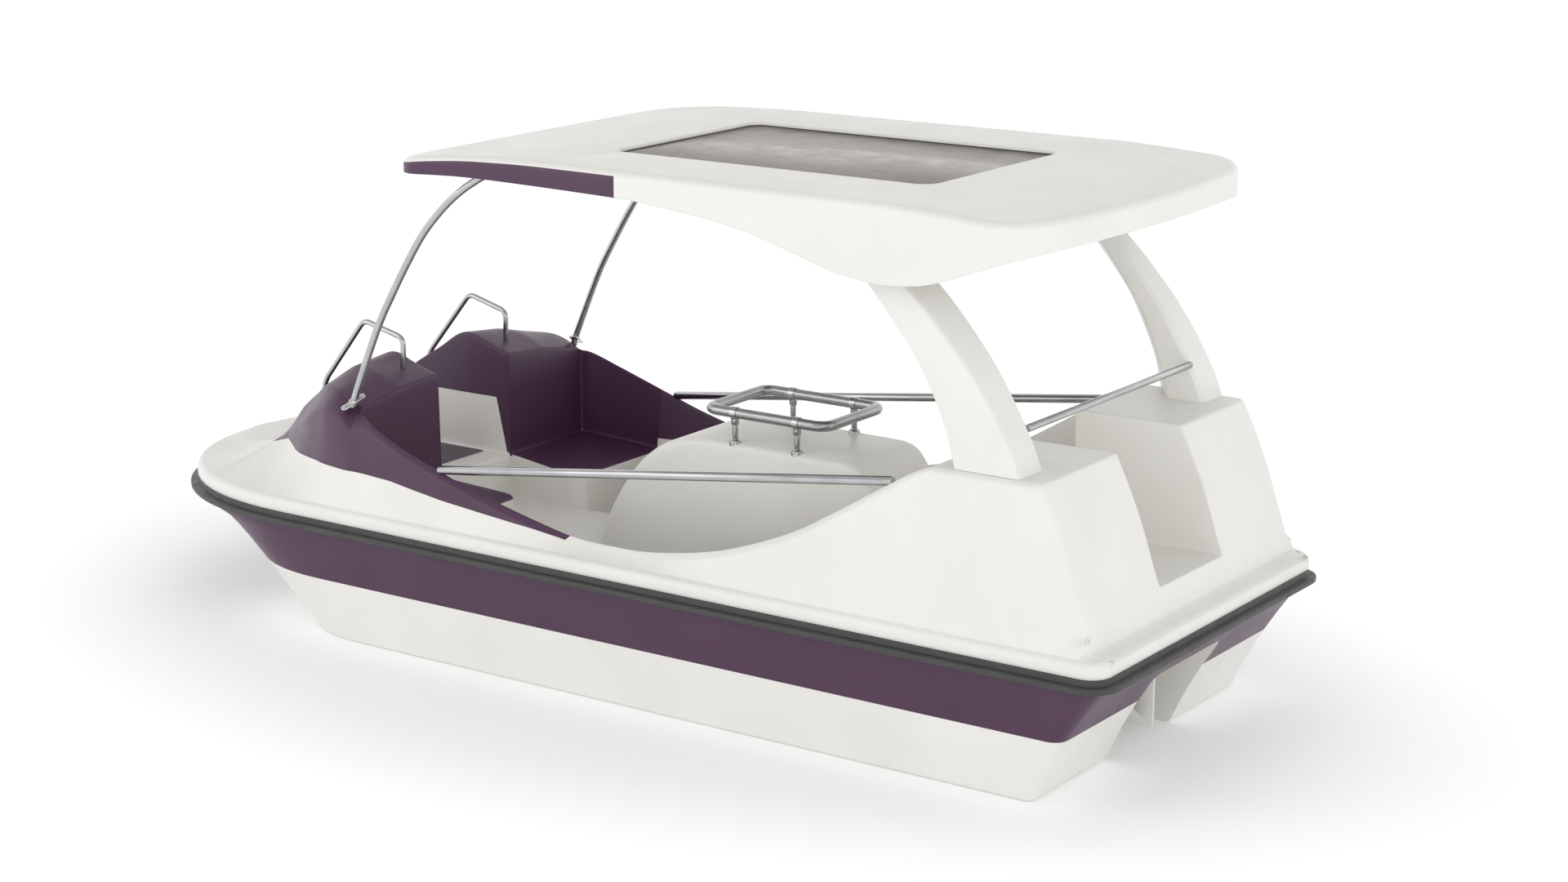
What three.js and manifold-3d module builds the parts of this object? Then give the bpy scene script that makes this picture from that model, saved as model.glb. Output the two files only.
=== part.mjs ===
// Four-seat catamaran pedal boat with a hard top.
// Units are millimetres. +X points to the bow, +Y to port, +Z up.
// Stations are measured along X from the aft end of the flat keel bottoms, as a builder's lines are,
// and the finished boat is shifted so that its origin is the bottom centre of its box.
import * as THREE from "three";
import { mergeVertices } from "three/addons/utils/BufferGeometryUtils.js";
import Module from "manifold-3d";

const wasm = await Module();
wasm.setup();

// ---- driving dimensions -------------------------------------------------------------------
const HALF_BEAM = 800; // over the rub rail
const STERN = -296; // station of the rub rail's aft face
const BOW = 4074; // station of the rub rail's nose
const MIDSHIP = (STERN + BOW) / 2;
const STERN_RADIUS = 105; // rub rail's plan radius at the stern corners
const NOSE = { start: 3150, power: 2.3 }; // where the plan starts to round in, and how full it is
const RAIL = { bottom: 427, step: 447, top: 468, web: 28, inner: 35 };
const GAP = 0.3; // clearance between touching pieces
const SIDES = [["port", 1], ["starboard", -1]];
const WALL = 8; // moulded glass-fibre thickness
const TUNNEL = { half: 223, halfTop: 235, ceiling: 330 };
const FLOOR = 352; // cockpit sole over the tunnel
const WELL = { inner: 262, outer: 610, floor: 110 }; // foot wells inside the pontoons
const DECK_EDGE = { inset: 38, z: 522 };
const TOWER = { inner: 222, outer: 700, front: 392, top: 1048 };
const STERN_STEP = 625; // height of the stern passage
const BOW_STEP = 527; // height of the bow passage
const SEAT = { aft: 500, bowBack: 529, bowFront: 499 };
const AXLE = { x: 1480, z: 400, radius: 14 };
const CRANK_THROW = 135;
const WHEEL = { radius: 365, width: 290, hub: 42, blades: 8 };
const STEER = { x: 560, arm: 80, z: 452, rudderX: 70 };
const STAINLESS = { rail: 16, stanchion: 13.5, table: 19, post: 10, grab: 10.5, cross: 12.5 };
const TABLE = { aft: 1150, bow: 1655, half: 180, z: 958 };
const HUMP_TOP = 850;
const HUMP = { half: 205, edge: 22, middle: 1430 };
const SKYLIGHT = { aft: 585, bow: 1874, half: 426, radius: 55, z: 1890 };
const ROUND = 12; // sides of a round bar
const RUNNING = 0.25; // clearance of a turning shaft in its bore

// ---- materials ------------------------------------------------------------------------------
const finish = (color, roughness, metalness = 0, extra = {}) =>
  new THREE.MeshStandardMaterial({ color, roughness, metalness, ...extra });
const WHITE = finish(0xe8e7e2, 0.35);
const PURPLE = finish(0x5a4658, 0.4);
const RUBBER = finish(0x3b3d3c, 0.7);
const STEEL = finish(0xc9cacc, 0.22, 1);
const SMOKED = finish(0x8f8b87, 0.1, 0, { transparent: true, opacity: 0.6 });
const NYLON = finish(0x232426, 0.55);

// ---- solids ---------------------------------------------------------------------------------
const boat = new THREE.Group();
boat.position.x = -MIDSHIP;
const V = (x, y, z) => new THREE.Vector3(x, y, z);

function toSolid(geometry, matrix) {
  const bare = geometry.index ? geometry.toNonIndexed() : geometry.clone();
  if (matrix) bare.applyMatrix4(matrix);
  bare.deleteAttribute("normal");
  bare.deleteAttribute("uv");
  const merged = mergeVertices(bare, 1e-3);
  const index = merged.index.array;
  const corners = [];
  for (let i = 0; i < index.length; i += 3) {
    const [a, b, c] = [index[i], index[i + 1], index[i + 2]];
    if (a !== b && b !== c && a !== c) corners.push(a, b, c);
  }
  return new wasm.Manifold(
    new wasm.Mesh({
      numProp: 3,
      vertProperties: merged.attributes.position.array,
      triVerts: new Uint32Array(corners),
    }),
  );
}

function toGeometry(solid) {
  const mesh = solid.getMesh();
  const geometry = new THREE.BufferGeometry();
  const flat = new Float32Array(mesh.numVert * 3);
  for (let i = 0; i < mesh.numVert; i++) {
    flat.set(mesh.vertProperties.subarray(i * mesh.numProp, i * mesh.numProp + 3), i * 3);
  }
  geometry.setAttribute("position", new THREE.BufferAttribute(flat, 3));
  geometry.setIndex(new THREE.BufferAttribute(mesh.triVerts, 1));
  geometry.computeVertexNormals();
  return geometry;
}

const join = (...solids) => solids.reduce((all, one) => all.add(one));
const cut = (solid, ...tools) => tools.reduce((rest, tool) => rest.subtract(tool), solid);

function add(name, shape, material) {
  const geometry = shape.isBufferGeometry ? shape : toGeometry(shape);
  const mesh = new THREE.Mesh(geometry, material);
  mesh.name = name;
  boat.add(mesh);
  return mesh;
}

// A skin through closed rings of points, with both ends capped flat.
function loft(rings, flatAxis = "z") {
  const count = rings[0].length;
  const points = rings.flat();
  const faces = [];
  for (let r = 0; r + 1 < rings.length; r++) {
    for (let i = 0; i < count; i++) {
      const a = r * count + i;
      const b = r * count + ((i + 1) % count);
      faces.push(a, b, b + count, a, b + count, a + count);
    }
  }
  const planes = { x: (p) => [p.y, p.z], y: (p) => [p.z, p.x], z: (p) => [p.x, p.y] };
  const flatten = (p) => new THREE.Vector2(...planes[flatAxis](p));
  // A cap's triangles turn with the ring at the far end and against it at the near end.
  const cap = (ring, offset, way) => {
    const outline = ring.map(flatten);
    const wanted = way * Math.sign(THREE.ShapeUtils.area(outline));
    for (const corners of THREE.ShapeUtils.triangulateShape(outline, [])) {
      const turn = Math.sign(THREE.ShapeUtils.area(corners.map((k) => outline[k])));
      if (turn !== wanted) corners.reverse();
      faces.push(...corners.map((k) => k + offset));
    }
  };
  cap(rings[0], 0, -1);
  cap(rings[rings.length - 1], (rings.length - 1) * count, 1);
  return closedSkin(points, faces);
}

function closedSkin(points, faces) {
  const geometry = new THREE.BufferGeometry();
  geometry.setAttribute(
    "position",
    new THREE.Float32BufferAttribute(points.flatMap((p) => [p.x, p.y, p.z]), 3),
  );
  geometry.setIndex(faces);
  const solid = toSolid(geometry);
  if (solid.volume() > 0) return solid;
  for (let i = 0; i < faces.length; i += 3) [faces[i], faces[i + 1]] = [faces[i + 1], faces[i]];
  geometry.setIndex(faces);
  return toSolid(geometry);
}

// A sheet of given thickness under a grid of surface points.
function sheetSolid(grid, thickness) {
  const rows = grid.length;
  const cols = grid[0].length;
  const normal = grid.map((row) => row.map(() => V(0, 0, 0)));
  const at = (i, j) => grid[i][j];
  for (let i = 0; i + 1 < rows; i++) {
    for (let j = 0; j + 1 < cols; j++) {
      const diagonalA = at(i + 1, j + 1).clone().sub(at(i, j));
      const diagonalB = at(i, j + 1).clone().sub(at(i + 1, j));
      const face = diagonalA.cross(diagonalB);
      if (face.length() < 1e-6) continue;
      face.normalize();
      for (const [a, b] of [[i, j], [i + 1, j], [i, j + 1], [i + 1, j + 1]]) normal[a][b].add(face);
    }
  }
  const under = grid.map((row, i) =>
    row.map((p, j) => p.clone().addScaledVector(normal[i][j].normalize(), -thickness)),
  );
  const points = [...grid.flat(), ...under.flat()];
  const base = rows * cols;
  const id = (i, j) => i * cols + j;
  const faces = [];
  for (let i = 0; i + 1 < rows; i++) {
    for (let j = 0; j + 1 < cols; j++) {
      const quad = [id(i, j), id(i + 1, j), id(i + 1, j + 1), id(i, j + 1)];
      faces.push(quad[0], quad[1], quad[2], quad[0], quad[2], quad[3]);
      faces.push(base + quad[2], base + quad[1], base + quad[0]);
      faces.push(base + quad[3], base + quad[2], base + quad[0]);
    }
  }
  const rim = [];
  for (let j = 0; j < cols; j++) rim.push(id(0, j));
  for (let i = 1; i < rows; i++) rim.push(id(i, cols - 1));
  for (let j = cols - 2; j >= 0; j--) rim.push(id(rows - 1, j));
  for (let i = rows - 2; i > 0; i--) rim.push(id(i, 0));
  rim.forEach((a, k) => {
    const b = rim[(k + 1) % rim.length];
    faces.push(a, b, base + b, a, base + b, base + a);
  });
  return closedSkin(points, faces);
}

function block(x0, x1, y0, y1, z0, z1) {
  const matrix = new THREE.Matrix4().makeTranslation((x0 + x1) / 2, (y0 + y1) / 2, (z0 + z1) / 2);
  return toSolid(new THREE.BoxGeometry(x1 - x0, y1 - y0, z1 - z0), matrix);
}

// A round bar from one point to another.
function bar(from, to, radius, sides = ROUND) {
  const length = from.distanceTo(to);
  const turn = new THREE.Quaternion().setFromUnitVectors(
    V(0, 1, 0),
    to.clone().sub(from).divideScalar(length),
  );
  const matrix = new THREE.Matrix4().compose(
    from.clone().add(to).multiplyScalar(0.5),
    turn,
    V(1, 1, 1),
  );
  return toSolid(new THREE.CylinderGeometry(radius, radius, length, sides), matrix);
}

// Radius of a bore with flat sides that a round shaft turns freely in.
const runningBore = (radius) => (radius + RUNNING) / Math.cos(Math.PI / ROUND);

// Straight runs joined by round bends of the given radius.
function bentPath(points, bend) {
  const path = new THREE.CurvePath();
  const last = points.length - 1;
  const corner = (k) => {
    const here = points[k];
    const back = points[k - 1].clone().sub(here);
    const on = points[k + 1].clone().sub(here);
    const reach = Math.min(bend, back.length() / 2.1, on.length() / 2.1);
    return [
      here.clone().addScaledVector(back.normalize(), reach),
      here,
      here.clone().addScaledVector(on.normalize(), reach),
    ];
  };
  const bends = points.map((p, k) => (k > 0 && k < last ? corner(k) : [p, p, p]));
  for (let k = 0; k < last; k++) {
    const next = bends[k + 1];
    path.add(new THREE.LineCurve3(bends[k][2], next[0]));
    if (k + 1 < last) path.add(new THREE.QuadraticBezierCurve3(...next));
  }
  return path;
}

function roundTube(path, radius, steps, sides = 12) {
  const section = new THREE.Shape();
  for (let i = 0; i < sides; i++) {
    const angle = (i / sides) * 2 * Math.PI;
    const spot = [radius * Math.cos(angle), radius * Math.sin(angle)];
    if (i) section.lineTo(...spot);
    else section.moveTo(...spot);
  }
  section.closePath();
  return new THREE.ExtrudeGeometry(section, { steps, extrudePath: path, curveSegments: 1 });
}

// ---- plan outline of the boat ---------------------------------------------------------------
// Half breadth and station of a point on the outline, set in by the given distance.
function noseCurve(start, length, half, power, steps) {
  const points = [];
  for (let i = 0; i <= steps; i++) {
    const angle = (i / steps) * (Math.PI / 2);
    const along = Math.sin(angle) ** (2 / power);
    const across = Math.cos(angle) ** (2 / power);
    points.push([start + length * along, half * across]);
  }
  return points;
}

// Closed ring of plan points, counter-clockwise, from the stern's centre round by starboard.
function planRing(aft, half, start, length, power, radius, z, noseSteps = 9) {
  const port = [];
  for (let i = 0; i <= 4; i++) {
    const angle = Math.PI / 2 + (i / 4) * (Math.PI / 2);
    port.push([aft + radius + radius * Math.cos(angle), half - radius + radius * Math.sin(angle)]);
  }
  const nose = noseCurve(start, length, half, power, noseSteps);
  const side = [...nose.slice(0, -1).reverse(), ...port];
  const tip = [nose[noseSteps]];
  const ring = [...tip, ...side, ...side.slice().reverse().map(([x, y]) => [x, -y])];
  return ring.map(([x, y]) => V(x, y, z));
}

function outline(inset, z) {
  return planRing(
    STERN + inset,
    HALF_BEAM - inset,
    NOSE.start,
    BOW - NOSE.start - inset,
    NOSE.power,
    Math.max(STERN_RADIUS - inset, 12),
    z,
  );
}

// Half breadth of the outline at a station.
function halfBreadth(x, inset) {
  const half = HALF_BEAM - inset;
  if (x <= NOSE.start) return half;
  const share = Math.min((x - NOSE.start) / (BOW - inset - NOSE.start), 1);
  return half * (1 - share ** NOSE.power) ** (1 / NOSE.power);
}

// A closed hoop of constant section round the boat: the section is a list of [inset, z].
function hoop(section) {
  const rings = section.map(([inset, z]) => outline(inset, z));
  const count = rings[0].length;
  const points = rings.flat();
  const faces = [];
  for (let s = 0; s < section.length; s++) {
    const next = ((s + 1) % section.length) * count;
    for (let i = 0; i < count; i++) {
      const [a, b] = [s * count + i, s * count + ((i + 1) % count)];
      const [c, d] = [next + ((i + 1) % count), next + i];
      faces.push(a, b, c, a, c, d);
    }
  }
  return closedSkin(points, faces);
}

// ---- hull ------------------------------------------------------------------------------------
// Height, half breadth, start of the nose and its length for each waterline.
const WATERLINES = [
  [0, 713, 2860, 480],
  [36, 717, 2882, 515],
  [100, 725, 2925, 560],
  [230, 741, 3000, 650],
  [376, 758, 3090, 790],
  [RAIL.bottom, HALF_BEAM - RAIL.inner - GAP, NOSE.start, BOW - NOSE.start - RAIL.inner - GAP],
  [445, HALF_BEAM - RAIL.inner - GAP, NOSE.start, BOW - NOSE.start - RAIL.inner - GAP],
];
const transom = (z) => -(0.4 * z + 0.00045 * z * z);

function hullEnvelope(inset, lift, top) {
  const rings = WATERLINES.map(([z, half, start, length], k) => {
    const height = k === 0 ? lift : Math.max(z, lift + k);
    const level = k === WATERLINES.length - 1 ? top : height;
    const power = z < 300 ? 2.6 : NOSE.power;
    const aft = Math.max(transom(z), STERN + RAIL.inner + GAP) + inset;
    const radius = 25 + 45 * (z / 445) - inset / 2;
    return planRing(aft, half - inset, start, length - inset, power, radius, level);
  });
  return loft(rings);
}

function tunnelSolid(grow, floor) {
  const stations = [[-400, 0], [2600, 0], [3000, 25], [3400, 90], [3900, 260], [4200, 420]];
  const rings = stations.map(([x, flare]) => {
    const [low, high] = [TUNNEL.half + flare + grow, TUNNEL.halfTop + flare * 0.4 + grow];
    const top = TUNNEL.ceiling + grow;
    const half = [[low, floor], [low + 5, 130], [high - 2, top - 30], [high - 30, top]];
    return [...half, ...half.slice().reverse().map(([y, z]) => [-y, z])].map(([y, z]) => V(x, y, z));
  });
  return loft(rings, "x");
}

const paddleSlot = (grow) =>
  block(AXLE.x - 400 - grow, AXLE.x + 400 + grow, -160 - grow, 160 + grow, 200, 600);

function hullShell() {
  const outside = cut(hullEnvelope(0, 0, 445), tunnelSolid(0, -50));
  const inside = cut(hullEnvelope(WALL, WALL, 500), tunnelSolid(WALL, -60));
  const stockHole = bar(V(STEER.rudderX, 0, 250), V(STEER.rudderX, 0, 420), 24);
  return cut(outside, inside, paddleSlot(0), stockHole);
}

// ---- deck ------------------------------------------------------------------------------------
// Each section runs from the centreline out: sole, inner wall, seat or top, coaming, crest, side.
const sheer = new THREE.SplineCurve(
  [
    [392, 1048], [440, 1030], [525, 983], [743, 851], [923, 748], [1078, 683], [1226, 633],
    [1400, 596], [1600, 573], [1760, 573], [1860, 580], [2010, 608], [2160, 641], [2334, 684],
    [2458, 722], [2656, 786], [2791, 837], [2860, 870],
  ].map(([x, z]) => new THREE.Vector2(x, z)),
);

function sheerAt(x) {
  const points = sheer.points;
  const last = points.length - 1;
  if (x <= points[0].x) return TOWER.top;
  if (x >= points[last].x) return points[last].y;
  const k = points.findIndex((p) => p.x > x) - 1;
  const share = (x - points[k].x) / (points[k + 1].x - points[k].x);
  return sheer.getPoint((k + share) / last).y;
}

const sideFoot = (x) => [halfBreadth(x, DECK_EDGE.inset), DECK_EDGE.z];

// Side of the boat from the coaming's inner edge to the deck edge.
function coaming(x, y = 700, outer = 20, drop = 24) {
  const z = sheerAt(x);
  const foot = sideFoot(x);
  const crest = [y + outer, Math.max(z - drop, DECK_EDGE.z + 6)];
  const flank = [crest[0] + (foot[0] - crest[0]) * 0.45, crest[1] + (foot[1] - crest[1]) * 0.5];
  return [[y, z], crest, flank, foot];
}

function sternSection(x, height) {
  const step = Math.min(height, STERN_STEP);
  const inner = TOWER.inner;
  const outer = 716 + (TOWER.top - height) * 0.03;
  const foot = sideFoot(x);
  const flank = [(outer + foot[0]) / 2 + 6, (height - 8 + foot[1]) / 2];
  const tower = [[inner, height], [450, height], [outer - 18, height], [outer, height - 10]];
  return [x, [[0, step], [inner, step], ...tower, flank, foot]];
}

function seatSection(x, sole, inner, low, pan, y = 700) {
  return [x, [[0, sole], [inner, sole], [low, pan], [y - 12, pan], ...coaming(x, y)]];
}

function wellSection(x) {
  const { inner, outer, floor } = WELL;
  return [x, [[0, FLOOR], [inner - 8, FLOOR], [inner, floor], [outer, floor], ...coaming(x)]];
}

// Bow consoles: top inner edge, mid top, outer top, crest, base crease.
const CONSOLES = [
  [2891, [208, 927], [420, 912], [632, 876], [700, 806], [728, 670]],
  [2960, [208, 946], [425, 942], [640, 905], [690, 852], [712, 668]],
  [3030, [206, 968], [420, 962], [615, 925], [672, 862], [694, 668]],
  [3100, [204, 991], [400, 970], [575, 925], [640, 852], [662, 664]],
  [3250, [204, 908], [365, 896], [490, 852], [560, 770], [586, 652]],
  [3390, [204, 822], [325, 812], [420, 768], [465, 700], [488, 632]],
  [3500, [204, 736], [290, 724], [345, 694], [385, 655], [408, 620]],
  [3600, [204, 645], [250, 638], [285, 625], [320, 610], [345, 602]],
];
const FOREDECK = [
  [3680, 582],
  [3780, 562],
  [3880, 546],
  [3960, 535],
  [4020, 527],
];

function consoleSection([x, ...edges]) {
  return [x, [[0, BOW_STEP], [200, BOW_STEP], ...edges, sideFoot(x)]];
}

function foredeckSection([x, z]) {
  const foot = sideFoot(x);
  const inner = Math.min(200, foot[0] * 0.45);
  const across = [0.1, 0.25, 0.42, 0.6, 0.78].map((s) => [
    inner + (foot[0] - inner) * s,
    z + (foot[1] - z) * s ** 1.4,
  ]);
  return [x, [[0, BOW_STEP], [inner, BOW_STEP], ...across, foot]];
}

function deckSections() {
  const stern = [
    [-268, 520], [-205, 532], [-192, 585], [-151, 705], [-115, 812], [-81, 897], [-45, 975],
    [-9, 1047], [190, TOWER.top], [TOWER.front - 1, TOWER.top],
  ].map(([x, z]) => sternSection(x, z));
  const bench = [TOWER.front, 470, 565, 660].map((x) => seatSection(x, SEAT.aft, 222, 222, SEAT.aft));
  const aftSeats = [661, 750, 849].map((x) => seatSection(x, FLOOR, 250, 250, SEAT.aft));
  const wells = [850, 1000, 1150, 1300, 1500, 1700, 1900, 2100, 2300, 2524].map(wellSection);
  // Front walls of the wells meet the sole's ledge in a section of their own.
  const ledge = (x, inner) => seatSection(x, FLOOR, inner, WELL.inner, FLOOR, 676);
  const pan = (x) =>
    SEAT.bowFront + ((SEAT.bowBack - SEAT.bowFront) * (x - 2525)) / (2889 - 2525);
  const bowSeats = [
    [2526, 214, 700],
    [2570, 178, 700],
    [2660, 184, 696],
    [2760, 194, 684],
    [2850, 204, 668],
    [2889, 208, 660],
  ].map(([x, inner, y]) => seatSection(x, FLOOR, inner, inner, pan(x), y));
  return [...stern, ...bench, ...aftSeats, ledge(849.5, 250), ...wells, ledge(2525, 254), ...bowSeats,
    ...CONSOLES.map(consoleSection), ...FOREDECK.map(foredeckSection)];
}

function deckMoulding() {
  const grid = deckSections().map(([x, half]) => {
    const port = half.map(([y, z]) => V(x, y, z));
    const starboard = half.slice(1).reverse().map(([y, z]) => V(x, -y, z));
    return [...starboard, ...port];
  });
  const edge = hoop([
    [RAIL.inner + GAP, 445 + GAP],
    [RAIL.inner + GAP, RAIL.top + GAP],
    [30, RAIL.top + GAP],
    [27, 490],
    [30, 508],
    [DECK_EDGE.inset + 2, DECK_EDGE.z],
    [DECK_EDGE.inset + 26, DECK_EDGE.z + 0.5],
    [DECK_EDGE.inset + 26, DECK_EDGE.z - WALL - 4],
    [RAIL.inner + 10, DECK_EDGE.z - 16],
    [RAIL.inner + 10, 445 + GAP],
  ]);
  const trim = loft([outline(RAIL.inner + GAP, -100), outline(RAIL.inner + GAP, 1300)]);
  const skin = sheetSolid(grid, WALL).intersect(trim);
  const steering = bar(V(STEER.x, 0, 440), V(STEER.x, 0, 560), 20);
  return cut(join(skin, edge), paddleSlot(4), steering);
}

// The deck's panels and the hull's pontoons meet edge to edge along these stations and buttocks.
const JOINTS = {
  towers: 394, wells: 851, bowSeats: 2522, consoles: 2887, sole: 266, coaming: 712, tunnel: 221,
};
const [AFT_END, BOW_END] = [STERN - 10, BOW + 10];
const OUTSIDE = HALF_BEAM + 10;

function panel(solid, [x0, x1], [y0, y1]) {
  const half = GAP / 2;
  return solid.intersect(block(x0 + half, x1 - half, y0 + half, y1 - half, -10, TOWER.top + 10));
}

// The same band of buttocks to port and to starboard.
const bandTo = (side, inner, outer) => (side > 0 ? [inner, outer] : [-outer, -inner]);

function deckPanels(deck) {
  const { towers, wells, bowSeats, consoles, sole, coaming } = JOINTS;
  const across = [-OUTSIDE, OUTSIDE];
  const inboard = [-coaming, coaming];
  const panels = {
    stern_deck: panel(deck, [AFT_END, towers], across),
    stern_seats: panel(deck, [towers, wells], inboard),
    cockpit_sole: panel(deck, [wells, bowSeats], [-sole, sole]),
    bow_seats: panel(deck, [bowSeats, consoles], inboard),
    bow_deck: panel(deck, [consoles, BOW_END], across),
  };
  for (const [name, side] of SIDES) {
    panels["foot_well_" + name] = panel(deck, [wells, bowSeats], bandTo(side, sole, coaming));
    panels["side_deck_" + name] = panel(deck, [towers, consoles], bandTo(side, coaming, OUTSIDE));
  }
  return panels;
}

function hullPanels(hull) {
  const { tunnel } = JOINTS;
  const along = [AFT_END, BOW_END];
  const panels = { tunnel_panel: panel(hull, along, [-tunnel, tunnel]) };
  for (const [name, side] of SIDES) {
    panels["pontoon_" + name] = panel(hull, along, bandTo(side, tunnel, OUTSIDE));
  }
  return panels;
}

// ---- rub rail ----------------------------------------------------------------------------------
function rubRail() {
  const { bottom, step, top, web, inner } = RAIL;
  return hoop([
    [4, bottom], [0, bottom + 4], [0, step - 4], [4, step], [web, step + 1],
    [web, top - 3], [web + 3, top], [inner, top], [inner, bottom],
  ]);
}

// ---- paddle housing ----------------------------------------------------------------------------
const HUMP_PROFILE = [
  [712, FLOOR], [740, 400], [958, 778], [1000, 832], [1050, HUMP_TOP], [1400, HUMP_TOP + 4],
  [1700, HUMP_TOP], [1790, 830], [1870, 790], [1945, 730], [2010, 650], [2070, 555],
  [2120, 455], [2150, FLOOR],
];

// The housing as slices along Y, its edge rounded between side and top.
function humpSolid(inset, base) {
  const half = HUMP.half - inset;
  const round = HUMP.edge;
  const slice = (y, shrink) =>
    HUMP_PROFILE.map(([x, z]) => {
      const pull = Math.min(Math.abs(HUMP.middle - x), shrink + inset);
      const height = z === FLOOR ? base : z - shrink - inset;
      return V(x + Math.sign(HUMP.middle - x) * pull, y, Math.max(height, base));
    });
  const rings = [
    slice(-half, round),
    slice(-half + round * 0.3, round * 0.3),
    slice(-half + round, 0),
    slice(half - round, 0),
    slice(half - round * 0.3, round * 0.3),
    slice(half, round),
  ];
  return loft(rings, "y");
}

function paddleHousing() {
  const holes = [-1, 1].map((side) =>
    bar(V(AXLE.x, side * (HUMP.half - 40), AXLE.z), V(AXLE.x, side * (HUMP.half + 20), AXLE.z), 24),
  );
  return cut(humpSolid(0, FLOOR + GAP), humpSolid(WALL, FLOOR - 60), ...holes);
}

// ---- roof --------------------------------------------------------------------------------------
// Height along the boat of the roof's top face and of the lower edge of its sides.
const ROOF_TOP = [
  [-20, 1855], [60, 1862], [200, 1872], [400, 1884], [560, SKYLIGHT.z], [1900, SKYLIGHT.z],
  [2200, 1882], [2420, 1864], [2540, 1848], [2615, 1838],
];
const ROOF_EDGE = [
  [-20, 1762], [30, 1755], [110, 1733], [200, 1700], [300, 1665], [414, 1638], [544, 1630],
  [687, 1644], [853, 1688], [1063, 1744], [1278, 1775], [1590, 1799], [2200, 1806], [2615, 1788],
];
const ROOF = {
  aft: -20, bow: 2612, halfAft: 806, halfBow: 766, aftRadius: 190, bowRadius: 130,
  bulge: 75, bowedOver: 200,
};

function heightAt(table, x) {
  const k = Math.max(table.findIndex((p) => p[0] >= x), 1);
  const [[x0, z0], [x1, z1]] = x > table[table.length - 1][0] ? table.slice(-2) : [table[k - 1], table[k]];
  return z0 + ((z1 - z0) * (x - x0)) / (x1 - x0);
}

// Ring of plan points: four rounded corners with evenly spaced points between them.
function roundedPlan(aft, bow, halfAft, halfBow, aftRadius, bowRadius, bulge = 0) {
  const half = (x) => halfAft + ((halfBow - halfAft) * (x - aft)) / (bow - aft);
  const points = [];
  const arc = (cx, cy, radius, from) => {
    for (let i = 0; i <= 4; i++) {
      const angle = from + (i / 4) * (Math.PI / 2);
      points.push([cx + radius * Math.cos(angle), cy + radius * Math.sin(angle)]);
    }
  };
  const run = (a, b, steps) => {
    for (let i = 1; i < steps; i++) {
      points.push([a[0] + ((b[0] - a[0]) * i) / steps, a[1] + ((b[1] - a[1]) * i) / steps]);
    }
  };
  const [xb, xa] = [bow - bowRadius, aft + aftRadius];
  const [yb, ya] = [half(bow) - bowRadius, half(aft) - aftRadius];
  arc(xb, yb, bowRadius, 0);
  run([xb, yb + bowRadius], [xa, ya + aftRadius], 12);
  arc(xa, ya, aftRadius, Math.PI / 2);
  run([aft, ya], [aft, -ya], 4);
  arc(xa, -ya, aftRadius, Math.PI);
  run([xa, -ya - aftRadius], [xb, -yb - bowRadius], 12);
  arc(xb, -yb, bowRadius, 1.5 * Math.PI);
  run([bow, -yb], [bow, yb], 4);
  // The ends bow outwards: the stern edge by the whole bulge, the bow edge by a quarter of it.
  return points.map(([x, y]) => {
    const swing = x > (aft + bow) / 2 ? -bulge / 4 : bulge;
    const near = Math.max(0, 1 - Math.min(x - aft, bow - x) / ROOF.bowedOver);
    return [x + swing * near * (y / halfAft) ** 2, y];
  });
}

function roofRing(inset, height) {
  const plan = roundedPlan(
    ROOF.aft + inset,
    ROOF.bow - inset,
    ROOF.halfAft - inset,
    ROOF.halfBow - inset,
    ROOF.aftRadius - inset,
    ROOF.bowRadius - inset,
    ROOF.bulge,
  );
  return plan.map(([x, y]) => V(x, y, height(x)));
}

function skylightRing(grow, height) {
  const { aft, bow, half, radius } = SKYLIGHT;
  const plan = roundedPlan(aft - grow, bow + grow, half + grow, half + grow, radius + grow, radius + grow);
  return plan.map(([x, y]) => V(x, y, height(x)));
}

// A closed solid whose skin runs through rings that share one point count, back to the first ring.
function ringBody(rings) {
  const count = rings[0].length;
  const faces = [];
  rings.forEach((ring, s) => {
    const next = ((s + 1) % rings.length) * count;
    for (let i = 0; i < count; i++) {
      const [a, b] = [s * count + i, s * count + ((i + 1) % count)];
      const [c, d] = [next + ((i + 1) % count), next + i];
      faces.push(a, b, c, a, c, d);
    }
  });
  return closedSkin(rings.flat(), faces);
}

function roofShell() {
  const top = (drop) => (x) => heightAt(ROOF_TOP, x) - drop;
  const edge = (lift) => (x) => heightAt(ROOF_EDGE, x) + lift;
  return ringBody([
    roofRing(0, edge(0)),
    roofRing(3, top(14)),
    roofRing(12, top(2)),
    roofRing(40, top(0)),
    skylightRing(0, top(0)),
    skylightRing(0, top(26)),
    skylightRing(14, top(26)),
    skylightRing(14, top(12)),
    roofRing(40, top(12)),
    roofRing(17, top(18)),
    roofRing(13, edge(1)),
  ]);
}

function skylightPanel() {
  const rim = 5;
  const low = SKYLIGHT.z - 20;
  return loft([skylightRing(-rim, () => low), skylightRing(-rim, () => low + 6)]);
}

function skylightGasket() {
  const low = SKYLIGHT.z - 22;
  const bottom = () => low;
  const top = () => low + 10;
  return ringBody([
    skylightRing(-GAP, bottom),
    skylightRing(-GAP, top),
    skylightRing(-5 + GAP, top),
    skylightRing(-5 + GAP, bottom),
  ]);
}

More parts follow.
